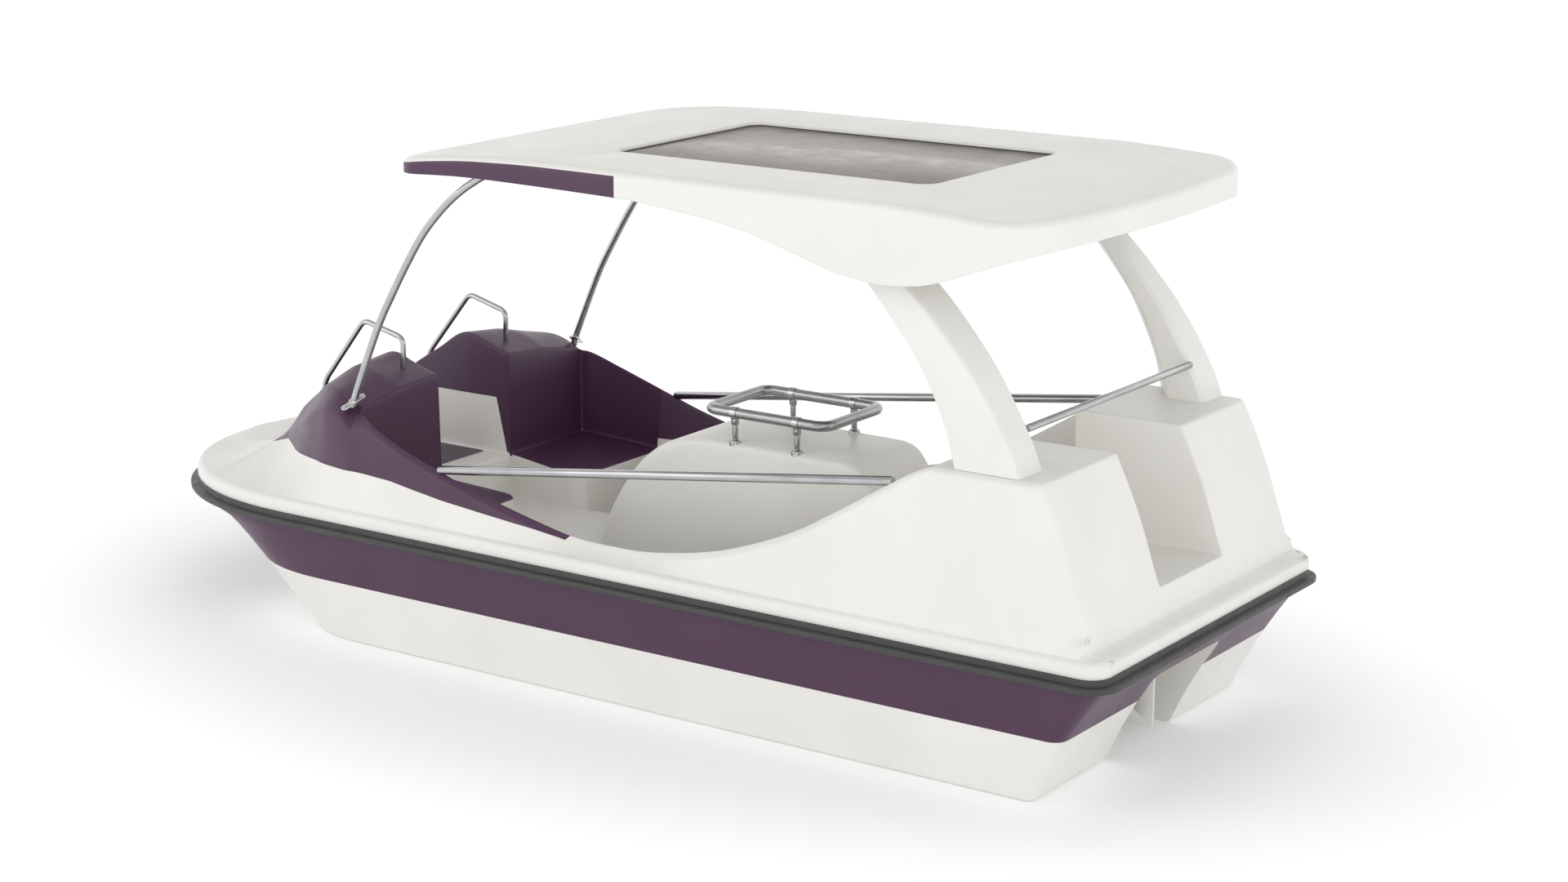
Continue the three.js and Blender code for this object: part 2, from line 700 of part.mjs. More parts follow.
// ---- roof arches and stanchions ----------------------------------------------------------------
// Aft and forward corners of the arch's outer face from its foot to the roof, then how far aft of
// them its inner face starts and how much shorter it ends.
const ARCH = [
  [[73, TOWER.top + GAP], [319, TOWER.top + GAP], 0, 105],
  [[102, 1120], [345, 1150], 0, 108],
  [[174, 1247], [398, 1272], 3, 113],
  [[260, 1366], [463, 1386], 14, 120],
  [[374, 1493], [552, 1496], 22, 120],
  [[450, 1568], [605, 1556], 25, 118],
  [[509, 1622], [655, 1612], 25, 116],
  [[600, 1690], [735, 1684], 25, 110],
  [[690, 1780], [830, 1772], 25, 110],
  [[735, SKYLIGHT.z - 13], [880, SKYLIGHT.z - 13], 25, 110],
];
const ARCH_INNER = 545;
const ARCH_OUTER = 698;

function roofArch(side) {
  const chamfer = 10;
  const rings = ARCH.map(([aft, fore, rake, slant]) => {
    const along = [fore[0] - aft[0], fore[1] - aft[1]];
    const length = Math.hypot(...along);
    const corner = (reach, y) => {
      const share = reach / length;
      return V(aft[0] + along[0] * share, side * y, aft[1] + along[1] * share);
    };
    return [
      corner(0, ARCH_OUTER - chamfer),
      corner(chamfer, ARCH_OUTER),
      corner(length - chamfer, ARCH_OUTER),
      corner(length, ARCH_OUTER - chamfer),
      corner(length - slant, ARCH_INNER + chamfer),
      corner(length - slant - chamfer, ARCH_INNER),
      corner(chamfer - rake, ARCH_INNER),
      corner(-rake, ARCH_INNER + chamfer),
    ];
  });
  return loft(rings, "z");
}

const STANCHION = [
  [2919, 882], [2899, 939], [2789, 1184], [2712, 1320], [2631, 1450], [2551, 1563], [2464, 1655],
  [2383, 1722], [2299, 1775], [2225, 1812], [2150, 1842],
];
const STANCHION_Y = 645;
const PLATE = { long: 52, wide: 19, thick: 6 };

function stanchion(side) {
  const points = STANCHION.map(([x, z]) => V(x, side * STANCHION_Y, z));
  return toSolid(roundTube(new THREE.CatmullRomCurve3(points), STAINLESS.stanchion, 16, 8));
}

// Tilted seat of the foot plate on the console's crest.
function plateMatrix(side) {
  const up = V(0.12, side * 0.42, 0.9).normalize();
  const along = V(0.35, side * 0.94, 0).cross(up).cross(up).negate().normalize();
  const across = up.clone().cross(along);
  const matrix = new THREE.Matrix4().makeBasis(along, across, up);
  return matrix.setPosition(2912, side * (STANCHION_Y + 5), 899);
}

function footPlate(side) {
  const shape = new THREE.Shape();
  const reach = PLATE.long - PLATE.wide;
  shape.absarc(reach, 0, PLATE.wide, -Math.PI / 2, Math.PI / 2);
  shape.absarc(-reach, 0, PLATE.wide, Math.PI / 2, 1.5 * Math.PI);
  const plate = new THREE.ExtrudeGeometry(shape, {
    depth: PLATE.thick,
    bevelEnabled: false,
    curveSegments: 8,
  });
  return toSolid(plate, plateMatrix(side));
}

// ---- rails and handles -------------------------------------------------------------------------
// What is left of a bar outside its neighbours, with a small gap to each.
function clearOf(solid, ...neighbours) {
  const nudges = [
    [0, 0, 0], [GAP, 0, 0], [-GAP, 0, 0], [0, GAP, 0], [0, -GAP, 0], [0, 0, GAP], [0, 0, -GAP],
  ];
  let rest = solid;
  for (const other of neighbours) {
    for (const nudge of nudges) rest = rest.subtract(other.translate(nudge.map((v) => v * 1.5)));
  }
  const pieces = rest.decompose();
  return pieces.reduce((best, one) => (one.volume() > best.volume() ? one : best));
}

const SIDE_RAIL = [[2455, 703, 724], [548, 688, 972]];

function sideRail(side) {
  const [bow, aft] = SIDE_RAIL.map(([x, y, z]) => V(x, side * y, z));
  return bar(bow, aft, STAINLESS.rail, ROUND);
}

const GRAB = [[2981, 300, 925], [2978, 298, 1069], [3166, 304, 1116], [3378, 300, 859], [3396, 300, 790]];

function grabHandle(side) {
  const points = GRAB.map(([x, y, z]) => V(x, side * y, z));
  return toSolid(roundTube(bentPath(points, 45), STAINLESS.grab, 26, 8));
}

// ---- table rail over the housing ---------------------------------------------------------------
const POST_STATIONS = [1268, 1533];

function tableRing() {
  const { aft, bow, half, z } = TABLE;
  const bend = 45;
  const centre = [];
  for (const [sx, sy, from] of [[1, 1, 0], [-1, 1, 1], [-1, -1, 2], [1, -1, 3]]) {
    const cx = sx > 0 ? bow - bend : aft + bend;
    for (let i = 0; i <= 4; i++) {
      const angle = (from + i / 4) * (Math.PI / 2);
      const out = V(Math.cos(angle), Math.sin(angle), 0);
      centre.push([V(cx, sy * (half - bend), z).addScaledVector(out, bend), out]);
    }
  }
  const sides = 10;
  const sections = Array.from({ length: sides }, (_, k) => {
    const turn = (k / sides) * 2 * Math.PI;
    return centre.map(([p, out]) =>
      p.clone()
        .addScaledVector(out, STAINLESS.table * Math.cos(turn))
        .add(V(0, 0, STAINLESS.table * Math.sin(turn))),
    );
  });
  return ringBody(sections);
}

function tableClamp(x, side) {
  const outer = bar(V(x - 24, side * TABLE.half, TABLE.z), V(x + 24, side * TABLE.half, TABLE.z), 23);
  const bore = bar(
    V(x - 30, side * TABLE.half, TABLE.z),
    V(x + 30, side * TABLE.half, TABLE.z),
    STAINLESS.table + 0.8,
  );
  const socket = bar(V(x, side * TABLE.half, TABLE.z - 42), V(x, side * TABLE.half, TABLE.z), 14);
  const clear = bar(
    V(x, side * TABLE.half, TABLE.z - 50),
    V(x, side * TABLE.half, TABLE.z - 26),
    STAINLESS.post + GAP,
  );
  return cut(join(outer, socket), bore, clear);
}

function tablePost(x, side) {
  const foot = HUMP_TOP + 14 + GAP;
  return bar(V(x, side * TABLE.half, foot - 8), V(x, side * TABLE.half, TABLE.z - 27), STAINLESS.post, 12);
}

// Round foot with a socket for the post, standing on the housing's rounded top.
function postFoot(x, side) {
  const disc = bar(V(x, side * TABLE.half, HUMP_TOP - 14), V(x, side * TABLE.half, HUMP_TOP + 8), 21);
  const collar = bar(V(x, side * TABLE.half, HUMP_TOP), V(x, side * TABLE.half, HUMP_TOP + 16), 15);
  const socket = bar(
    V(x, side * TABLE.half, HUMP_TOP + 6),
    V(x, side * TABLE.half, HUMP_TOP + 30),
    STAINLESS.post + GAP,
  );
  return cut(join(disc, collar), socket);
}

// ---- drive -------------------------------------------------------------------------------------
// Inner and outer end of each pedal pin, and its side of the axle.
const THROWS = [[292, 398, 1], [428, 534, -1]];
const WEB = { half: 8, tall: 17, reach: 20, at: [284, 413, 542] }; // crank webs and their buttocks
const PEDAL_PIN = 9; // radius of the pins that the pedals turn on
const AXLE_END = 286; // middle length of the axle, between the inner webs
const JOURNAL = [540, 652]; // the axle's outer journals
const PEDAL = { reach: 42, half: 15, play: 6 };
const DISC = { at: 60, half: 3, share: 0.55 }; // stiffening discs of the paddle wheel
const BLADE = { thick: 6, root: 10, play: 10 };
const BUSH = { sleeve: 23.5, flange: 38, out: 14, thick: 12 };
const BEARING = { inner: 606, outer: 720, half: 45 };

function crankWeb(y, from, to) {
  const [low, high] = [Math.min(from, to) - WEB.reach, Math.max(from, to) + WEB.reach];
  const [bottom, top] = [AXLE.z - WEB.tall, AXLE.z + WEB.tall];
  return block(AXLE.x + low, AXLE.x + high, y - WEB.half, y + WEB.half, bottom, top);
}

function crankshaft() {
  const axis = (a, b) => bar(V(AXLE.x, a, AXLE.z), V(AXLE.x, b, AXLE.z), AXLE.radius);
  const parts = [axis(-AXLE_END, AXLE_END)];
  const overlap = WEB.half + 2;
  for (const side of [-1, 1]) {
    for (const [inner, outer, way] of THROWS) {
      const x = AXLE.x + way * side * CRANK_THROW;
      const [y0, y1] = [inner - overlap, outer + overlap].map((y) => side * y);
      parts.push(bar(V(x, y0, AXLE.z), V(x, y1, AXLE.z), PEDAL_PIN));
    }
    const [first, second] = THROWS.map(([, , way]) => way * side * CRANK_THROW);
    const throws = [0, first, second, 0];
    WEB.at.forEach((y, k) => parts.push(crankWeb(side * y, throws[k], throws[k + 1])));
    parts.push(axis(...JOURNAL.map((y) => side * y)));
  }
  return join(...parts);
}

function pedal(side, [inner, outer, way]) {
  const x = AXLE.x + way * side * CRANK_THROW;
  const { reach, half, play } = PEDAL;
  const [y0, y1] = [inner + play, outer - play].map((y) => side * y).sort((a, b) => a - b);
  const body = block(x - reach, x + reach, y0, y1, AXLE.z - half, AXLE.z + half);
  const bore = bar(V(x, y0 - play, AXLE.z), V(x, y1 + play, AXLE.z), runningBore(PEDAL_PIN));
  return cut(body, bore);
}

function paddleWheel() {
  const { radius, width, hub, blades } = WHEEL;
  const half = width / 2;
  const pieces = [bar(V(AXLE.x, -half, AXLE.z), V(AXLE.x, half, AXLE.z), hub)];
  for (let i = 0; i < blades; i++) {
    const turn = (i / blades) * 2 * Math.PI;
    const blade = new THREE.BoxGeometry(radius - hub + BLADE.root, width - BLADE.play, BLADE.thick);
    const matrix = new THREE.Matrix4()
      .makeTranslation(AXLE.x, 0, AXLE.z)
      .multiply(new THREE.Matrix4().makeRotationY(turn))
      .multiply(new THREE.Matrix4().makeTranslation((radius + hub - BLADE.root) / 2, 0, 0));
    pieces.push(toSolid(blade, matrix));
  }
  for (const side of [-1, 1]) {
    const [y0, y1] = [side * DISC.at - DISC.half, side * DISC.at + DISC.half];
    pieces.push(bar(V(AXLE.x, y0, AXLE.z), V(AXLE.x, y1, AXLE.z), radius * DISC.share, 2 * ROUND));
  }
  const bore = bar(V(AXLE.x, -width, AXLE.z), V(AXLE.x, width, AXLE.z), AXLE.radius + GAP);
  return cut(join(...pieces), bore);
}

function crankBush(side) {
  const y = (v) => V(AXLE.x, side * v, AXLE.z);
  const sleeve = bar(y(HUMP.half - BUSH.out), y(HUMP.half + BUSH.out), BUSH.sleeve);
  const flange = bar(y(HUMP.half + GAP), y(HUMP.half + BUSH.thick), BUSH.flange);
  const bore = bar(y(HUMP.half / 2), y(HUMP.half * 2), runningBore(AXLE.radius));
  return cut(join(sleeve, flange), bore);
}

function outerBearing(side) {
  const { inner, outer, half } = BEARING;
  const [y0, y1] = [inner, outer].map((y) => side * y).sort((a, b) => a - b);
  const body = block(AXLE.x - half, AXLE.x + half, y0, y1, AXLE.z - half, AXLE.z + half);
  const y = (v) => V(AXLE.x, side * v, AXLE.z);
  const bore = bar(y(inner - GAP * 10), y(JOURNAL[1] + 4), runningBore(AXLE.radius));
  return cut(body, bore);
}

// ---- steering ----------------------------------------------------------------------------------
const RUDDER = { aft: -56, bow: 170, low: 55, high: 306, thick: 10 };
const STOCK = { radius: 12, low: 202 };
const COLUMN = { radius: 11, top: 742, handle: 9, bend: 735, reach: 185, rise: 30 };
const LEVER = { half: 14, thick: 4, hub: 22, boss: 8 }; // the two arms under the seats
const PIN = 5; // radius of the link's two pins
const PIN_TOP = 22; // height of the pins and stock over the arms' middle

function upright(x, y, low, high, radius, sides = ROUND) {
  return bar(V(x, y, low), V(x, y, high), radius, sides);
}

function rudderBlade() {
  const { aft, bow, low, high, thick } = RUDDER;
  const shape = new THREE.Shape();
  shape.moveTo(aft, high);
  shape.lineTo(aft, low + 8);
  shape.lineTo(aft + 8, low);
  shape.lineTo(bow - 60, low);
  shape.quadraticCurveTo(bow, low + 20, bow, low + 90);
  shape.lineTo(bow, high);
  const plate = new THREE.ExtrudeGeometry(shape, { depth: thick, bevelEnabled: false, curveSegments: 6 });
  const stand = new THREE.Matrix4().makeRotationX(Math.PI / 2).setPosition(0, thick / 2, 0);
  return cut(toSolid(plate, stand), upright(STEER.rudderX, 0, STOCK.low - 2, high + 14, STOCK.radius + GAP));
}

const rudderStock = () => upright(STEER.rudderX, 0, STOCK.low, STEER.z + PIN_TOP, STOCK.radius);

function rudderBush() {
  const sleeve = upright(STEER.rudderX, 0, TUNNEL.ceiling - 6, TUNNEL.ceiling + 40, 23.5);
  const flange = upright(STEER.rudderX, 0, TUNNEL.ceiling + WALL + GAP, TUNNEL.ceiling + 20, 42);
  return cut(join(sleeve, flange), upright(STEER.rudderX, 0, 300, 400, runningBore(STOCK.radius)));
}

function steeringArm(x, low, high, radius) {
  const { half, hub: round, boss } = LEVER;
  const plate = block(x - half, x + half, -STEER.arm - half, half, low, high);
  const hub = upright(x, 0, low - boss, high + boss, round);
  return cut(join(plate, hub), upright(x, 0, low - 20, high + 20, radius + GAP));
}

function tillerArm() {
  const { rudderX, arm, z } = STEER;
  const plate = steeringArm(rudderX, z - LEVER.thick, z + LEVER.thick, STOCK.radius);
  return join(plate, upright(rudderX, -arm, z, z + PIN_TOP, PIN));
}

function linkRod() {
  const { rudderX, x, arm, z } = STEER;
  const low = z + 5;
  const eye = (station) => upright(station, -arm, low, low + 10, 13);
  const rod = bar(V(rudderX, -arm, low + 5), V(x, -arm, low + 5), 5, 12);
  const bore = (station) => upright(station, -arm, low - 5, low + 20, runningBore(PIN) + GAP);
  return cut(join(eye(rudderX), eye(x), rod), bore(rudderX), bore(x));
}

function steeringColumn() {
  const { x, arm, z } = STEER;
  const { radius, top, bend, reach, rise } = COLUMN;
  const { half, thick, hub: round } = LEVER;
  const plate = block(x - half, x + half, -arm - half, half, z - thick, z + thick);
  const hub = upright(x, 0, z - half, z + half, round - 2);
  const post = upright(x, 0, z - half, top, radius);
  const pin = upright(x, -arm, z, z + PIN_TOP, PIN);
  const handle = bar(V(x, 0, bend), V(x + reach, 0, bend + rise), COLUMN.handle);
  return join(plate, hub, post, pin, handle);
}

function steeringGrip() {
  const { x } = STEER;
  const [from, to] = [V(x + 90, 0, 749.6), V(x + 190, 0, 765.8)];
  const bore = bar(V(x + 60, 0, 744.7), V(x + 186, 0, 765.2), COLUMN.handle + GAP);
  return cut(bar(from, to, 15, 14), bore);
}

function steeringBush() {
  const { x } = STEER;
  const sleeve = upright(x, 0, SEAT.aft - WALL - 6, SEAT.aft + 12, 19.5);
  const flange = upright(x, 0, SEAT.aft + GAP, SEAT.aft + 10, 34);
  return cut(join(sleeve, flange), upright(x, 0, 470, 540, runningBore(COLUMN.radius)));
}

// ---- assembly ----------------------------------------------------------------------------------
function buildBoat() {
  const deck = deckMoulding();
  const roof = roofShell();
  const housing = paddleHousing();
  const shells = { ...hullPanels(hullShell()), ...deckPanels(deck) };
  for (const [name, solid] of Object.entries(shells)) add(name, solid, WHITE);
  add("rub_rail", rubRail(), RUBBER);
  add("paddle_housing", housing, WHITE);
  add("bow_floor_pad", block(3008, 3420, -178, 178, BOW_STEP + 0.5, BOW_STEP + 5), PURPLE);
  add("roof_shell", roof, WHITE);
  add("skylight_panel", skylightPanel(), SMOKED);
  add("skylight_gasket", skylightGasket(), RUBBER);
  const arches = SIDES.map(([, side]) => clearOf(roofArch(side), roof));
  SIDES.forEach(([name, side], k) => {
    add("roof_arch_" + name, arches[k], WHITE);
    const plate = clearOf(footPlate(side), deck, stanchion(side));
    add("stanchion_" + name, clearOf(stanchion(side), deck, roof), STEEL);
    add("stanchion_foot_" + name, plate, STEEL);
    add("grab_handle_" + name, clearOf(grabHandle(side), deck), STEEL);
    const beside = [shells["foot_well_" + name], shells["side_deck_" + name], shells.stern_seats];
    add("side_rail_" + name, clearOf(sideRail(side), deck, ...beside), STEEL);
  });
  const reach = ARCH_INNER - GAP;
  const crossRail = bar(V(133, -reach, 1176), V(133, reach, 1176), STAINLESS.cross);
  add("rear_cross_rail", clearOf(crossRail, ...arches), STEEL);
  add("table_rail", tableRing(), STEEL);
  POST_STATIONS.forEach((x, k) => {
    SIDES.forEach(([name, side]) => {
      const place = (k ? "bow_" : "stern_") + name;
      add("table_clamp_" + place, tableClamp(x, side), STEEL);
      add("table_post_" + place, tablePost(x, side), STEEL);
      add("table_foot_" + place, clearOf(postFoot(x, side), housing), STEEL);
    });
  });
  add("crankshaft", crankshaft(), STEEL);
  add("paddle_wheel", paddleWheel(), NYLON);
  SIDES.forEach(([name, side]) => {
    add("crank_bush_" + name, crankBush(side), NYLON);
    add("outer_bearing_" + name, clearOf(outerBearing(side), deck), NYLON);
    add("pedal_inner_" + name, pedal(side, THROWS[0]), NYLON);
    add("pedal_outer_" + name, pedal(side, THROWS[1]), NYLON);
  });
  add("rudder_blade", rudderBlade(), WHITE);
  add("rudder_stock", rudderStock(), STEEL);
  add("rudder_bush", rudderBush(), NYLON);
  add("tiller_arm", tillerArm(), STEEL);
  add("link_rod", linkRod(), STEEL);
  add("steering_column", steeringColumn(), STEEL);
  add("steering_grip", steeringGrip(), NYLON);
  add("steering_bush", steeringBush(), NYLON);
}

buildBoat();

export default boat;
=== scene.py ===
import bisect
import functools
import math

import bmesh
import bpy
from mathutils import Matrix, Vector


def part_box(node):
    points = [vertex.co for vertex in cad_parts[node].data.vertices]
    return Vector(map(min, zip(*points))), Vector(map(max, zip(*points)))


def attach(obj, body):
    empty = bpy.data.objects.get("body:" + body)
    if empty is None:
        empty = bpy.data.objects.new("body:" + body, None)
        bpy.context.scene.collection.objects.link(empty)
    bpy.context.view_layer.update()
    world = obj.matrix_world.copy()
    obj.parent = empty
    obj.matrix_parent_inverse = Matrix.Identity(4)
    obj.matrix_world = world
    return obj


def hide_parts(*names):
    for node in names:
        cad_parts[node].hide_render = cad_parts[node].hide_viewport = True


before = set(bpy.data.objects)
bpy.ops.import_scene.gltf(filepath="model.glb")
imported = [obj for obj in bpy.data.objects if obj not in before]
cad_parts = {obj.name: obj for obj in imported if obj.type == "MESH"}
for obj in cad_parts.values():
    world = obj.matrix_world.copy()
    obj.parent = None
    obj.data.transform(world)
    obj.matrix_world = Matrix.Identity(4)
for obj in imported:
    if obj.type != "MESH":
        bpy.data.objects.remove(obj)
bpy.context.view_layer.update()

# ---- driving dimensions ----
STERN = -0.296  # station of the rub rail's aft face
BOW = 4.074  # station of the rub rail's nose
HALF_BEAM = 0.8
STERN_RADIUS = 0.105
NOSE_START, NOSE_POWER = 3.15, 2.3
RAIL_INNER = 0.035
TUNNEL_HALF, TUNNEL_TOP, TUNNEL_CEILING = 0.223, 0.235, 0.33
BAND_LOW = 0.23  # lower edge of the hull's coloured band
SOLE = 0.352
WELL_INNER, WELL_OUTER, WELL_FLOOR = 0.262, 0.61, 0.11
EDGE_INSET, EDGE_Z = 0.038, 0.522  # foot of the deck's side
TOWER_INNER, TOWER_FRONT, TOWER_TOP = 0.222, 0.392, 1.048
STERN_STEP, BOW_STEP = 0.625, 0.527
BENCH_Z = 0.5
AXLE = Vector((1.48, 0, 0.4))
THROW = 0.135
SKYLIGHT = {"aft": 0.585, "bow": 1.874, "half": 0.426, "radius": 0.055, "z": 1.89}
ROOF = {"aft": -0.02, "bow": 2.612, "half_aft": 0.806, "half_bow": 0.766,
        "radius_aft": 0.19, "radius_bow": 0.13, "bulge": 0.075, "bowed_over": 0.2}
ROOF_SPLIT = 1.59  # station where the fascia changes colour
TABLE = {"aft": 1.15, "bow": 1.655, "half": 0.18, "z": 0.958, "bend": 0.045, "radius": 0.019}
POSTS = (1.268, 1.533)
RUDDER_X, STEER_X, ARM, LINK_Z = 0.07, 0.56, 0.08, 0.452
UP, ACROSS = Vector((0, 0, 1)), Vector((0, 1, 0))
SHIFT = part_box("rub_rail")[0].x - STERN
SIDES = (("port", 1), ("starboard", -1))


def at(x, y, z):
    return Vector((x + SHIFT, y, z))


# ---- lines of the boat ----
# Height, half breadth, start of the nose and its length for each waterline.
WATERLINES = [
    (0.0, 0.713, 2.86, 0.48), (0.036, 0.717, 2.882, 0.515), (0.1, 0.725, 2.925, 0.56),
    (0.23, 0.741, 3.0, 0.65), (0.376, 0.758, 3.09, 0.79), (0.427, 0.7647, 3.15, 0.8887),
    (0.445, 0.7647, 3.15, 0.8887),
]
# Coaming's inner top edge from the stern tower to the bow console.
SHEER = [
    (0.392, 1.048), (0.44, 1.03), (0.525, 0.983), (0.743, 0.851), (0.923, 0.748), (1.078, 0.683),
    (1.226, 0.633), (1.4, 0.596), (1.6, 0.573), (1.76, 0.573), (1.86, 0.58), (2.01, 0.608),
    (2.16, 0.641), (2.334, 0.684), (2.458, 0.722), (2.656, 0.786), (2.791, 0.837), (2.89, 0.88),
]
# The stern towers' aft face.
STERN_FACE = [
    (-0.268, 0.52), (-0.205, 0.532), (-0.192, 0.585), (-0.151, 0.705), (-0.115, 0.812),
    (-0.081, 0.897), (-0.045, 0.975), (-0.009, 1.048),
]
# Bow consoles: top inner edge, mid top, outer top, crest, base crease.
CONSOLES = [
    (2.8895, (0.208, 0.927), (0.42, 0.912), (0.632, 0.876), (0.7, 0.806), (0.728, 0.67)),
    (2.96, (0.208, 0.946), (0.425, 0.942), (0.64, 0.905), (0.69, 0.852), (0.712, 0.668)),
    (3.03, (0.206, 0.968), (0.42, 0.962), (0.615, 0.925), (0.672, 0.862), (0.694, 0.668)),
    (3.1, (0.204, 0.991), (0.4, 0.97), (0.575, 0.925), (0.64, 0.852), (0.662, 0.664)),
    (3.25, (0.204, 0.908), (0.365, 0.896), (0.49, 0.852), (0.56, 0.77), (0.586, 0.652)),
    (3.39, (0.204, 0.822), (0.325, 0.812), (0.42, 0.768), (0.465, 0.7), (0.488, 0.632)),
    (3.5, (0.204, 0.736), (0.29, 0.724), (0.345, 0.694), (0.385, 0.655), (0.408, 0.62)),
    (3.6, (0.204, 0.645), (0.25, 0.638), (0.285, 0.625), (0.32, 0.61), (0.345, 0.602)),
]
FOREDECK = [(3.68, 0.574), (3.75, 0.549), (3.84, 0.536), (3.93, 0.529), (4.03, 0.5235)]
# Lower edge of the coloured field: on the deck's side, round the consoles, over the coaming's inner
# wall and along the passage's walls. Then the field of a bow seat: its pan, inner and outer edges.
COLLAR = [
    (1.86, 0.56), (1.905, 0.567), (2.014, 0.581), (2.184, 0.597), (2.426, 0.621), (2.673, 0.656),
    (2.85, 0.663), (2.9, 0.663),
]
CONSOLE_FOOT = [
    (2.85, 0.663), (3.085, 0.661), (3.27, 0.648), (3.473, 0.636), (3.572, 0.604), (3.64, 0.586),
    (3.7, 0.563),
]
WALL_LINE = [(1.86, 0.575), (2.56, 0.545)]
PASSAGE_LINE = [(2.886, 0.519), (2.9, 0.52), (2.956, 0.747), (3.64, 0.747)]
SEAT_PAN = [(2.52, 0.494), (2.889, 0.525)]
SEAT_INNER = [(2.52, 0.217), (2.57, 0.175), (2.66, 0.181), (2.76, 0.191), (2.889, 0.205)]
SEAT_OUTER = [(2.52, 0.706), (2.57, 0.706), (2.66, 0.702), (2.76, 0.69), (2.85, 0.675), (2.89, 0.667)]
# Ridge of the paddle housing, then the roof's top and its fascia's lower edge.
HUMP = [
    (0.712, 0.352), (0.74, 0.4), (0.958, 0.778), (1.0, 0.832), (1.05, 0.85), (1.4, 0.854),
    (1.7, 0.85), (1.79, 0.83), (1.87, 0.79), (1.945, 0.73), (2.01, 0.65), (2.07, 0.555),
    (2.12, 0.455), (2.15, 0.352),
]
ROOF_TOP = [
    (-0.02, 1.855), (0.06, 1.862), (0.2, 1.872), (0.4, 1.884), (0.56, 1.89), (1.9, 1.89),
    (2.2, 1.882), (2.42, 1.864), (2.54, 1.848), (2.615, 1.838),
]
ROOF_EDGE = [
    (-0.02, 1.762), (0.03, 1.755), (0.11, 1.733), (0.2, 1.7), (0.3, 1.665), (0.414, 1.638),
    (0.544, 1.63), (0.687, 1.644), (0.853, 1.688), (1.063, 1.744), (1.278, 1.775), (1.59, 1.799),
    (2.2, 1.806), (2.615, 1.788),
]
# Aft and forward corners of an arch's outer face from its foot to the roof, then how far aft of them
# its inner face starts and how much shorter it ends.
ARCH = [
    ((0.073, 1.0483), (0.319, 1.0483), 0, 0.105), ((0.102, 1.12), (0.345, 1.15), 0, 0.108),
    ((0.174, 1.247), (0.398, 1.272), 0.003, 0.113), ((0.26, 1.366), (0.463, 1.386), 0.014, 0.12),
    ((0.374, 1.493), (0.552, 1.496), 0.022, 0.12), ((0.45, 1.568), (0.605, 1.556), 0.025, 0.118),
    ((0.509, 1.622), (0.655, 1.612), 0.025, 0.116), ((0.6, 1.69), (0.735, 1.684), 0.025, 0.11),
    ((0.69, 1.78), (0.83, 1.772), 0.025, 0.11), ((0.735, 1.872), (0.88, 1.872), 0.025, 0.11),
]
ARCH_INNER = 0.545
ARCH_OUTER = 0.698
STANCHION = [
    (2.919, 0.882), (2.899, 0.939), (2.789, 1.184), (2.712, 1.32), (2.631, 1.45), (2.551, 1.563),
    (2.464, 1.655), (2.383, 1.722), (2.299, 1.775), (2.225, 1.812), (2.15, 1.842),
]
STANCHION_Y = 0.645
GRAB = [(2.981, 0.3, 0.925), (2.978, 0.298, 1.069), (3.166, 0.304, 1.116),
        (3.378, 0.3, 0.859), (3.396, 0.3, 0.79)]


def slopes(table):
    """Slope at each point of a table of (x, value), without overshoot between the points."""
    steps = [(b[1] - a[1]) / (b[0] - a[0]) for a, b in zip(table, table[1:])]
    found = [steps[0]]
    for before, after in zip(steps, steps[1:]):
        found.append(0 if before * after <= 0 else 2 * before * after / (before + after))
    return found + [steps[-1]]


def smooth(table, x):
    """Value of a smooth curve through a table of (x, value)."""
    xs = [p[0] for p in table]
    x = min(max(x, xs[0]), xs[-1])
    k = min(max(bisect.bisect_right(xs, x) - 1, 0), len(xs) - 2)
    slope = slopes(table)
    width = xs[k + 1] - xs[k]
    t = (x - xs[k]) / width
    start, end = table[k][1], table[k + 1][1]
    return (start * (2 * t**3 - 3 * t * t + 1) + end * (3 * t * t - 2 * t**3)
            + width * (slope[k] * (t**3 - 2 * t * t + t) + slope[k + 1] * (t**3 - t * t)))


def plan_ring(aft, half, start, length, power, radius, nose_steps=28, corner_steps=8):
    """Closed plan outline, from the nose round by port to the stern and back: (x, y) pairs."""
    port = []
    for i in range(nose_steps):
        angle = math.pi / 2 * (1 - i / nose_steps)
        along = math.sin(angle) ** (2 / power)
        across = math.cos(angle) ** (2 / power)
        port.append((start + length * along, half * across))
    side_steps = 16
    stern_x = aft + radius
    for i in range(side_steps):
        port.append((start + (stern_x - start) * i / side_steps, half))
    for i in range(corner_steps + 1):
        angle = math.pi / 2 * (1 + i / corner_steps)
        port.append((stern_x + radius * math.cos(angle), half - radius + radius * math.sin(angle)))
    for share in (0.75, 0.5, 0.25):
        port.append((aft, (half - radius) * share))
    starboard = [(x, -y) for x, y in reversed(port[1:])]
    return port + [(aft, 0)] + starboard


def outline(inset):
    return plan_ring(STERN + inset, HALF_BEAM - inset, NOSE_START, BOW - NOSE_START - inset,
                     NOSE_POWER, max(STERN_RADIUS - inset, 0.012))


def half_breadth(x, inset):
    half = HALF_BEAM - inset
    if x <= NOSE_START:
        return half
    share = min((x - NOSE_START) / (BOW - inset - NOSE_START), 1)
    return half * max(1 - share**NOSE_POWER, 0) ** (1 / NOSE_POWER)


# ---- mesh tools ----
def new_object(name, points, faces, smooth_angle=35):
    mesh = bpy.data.meshes.new(name)
    mesh.from_pydata([tuple(p) for p in points], [], faces)
    piece = bpy.data.objects.new(name, mesh)
    bpy.context.scene.collection.objects.link(piece)
    tidy_mesh(piece, smooth_angle)
    return piece


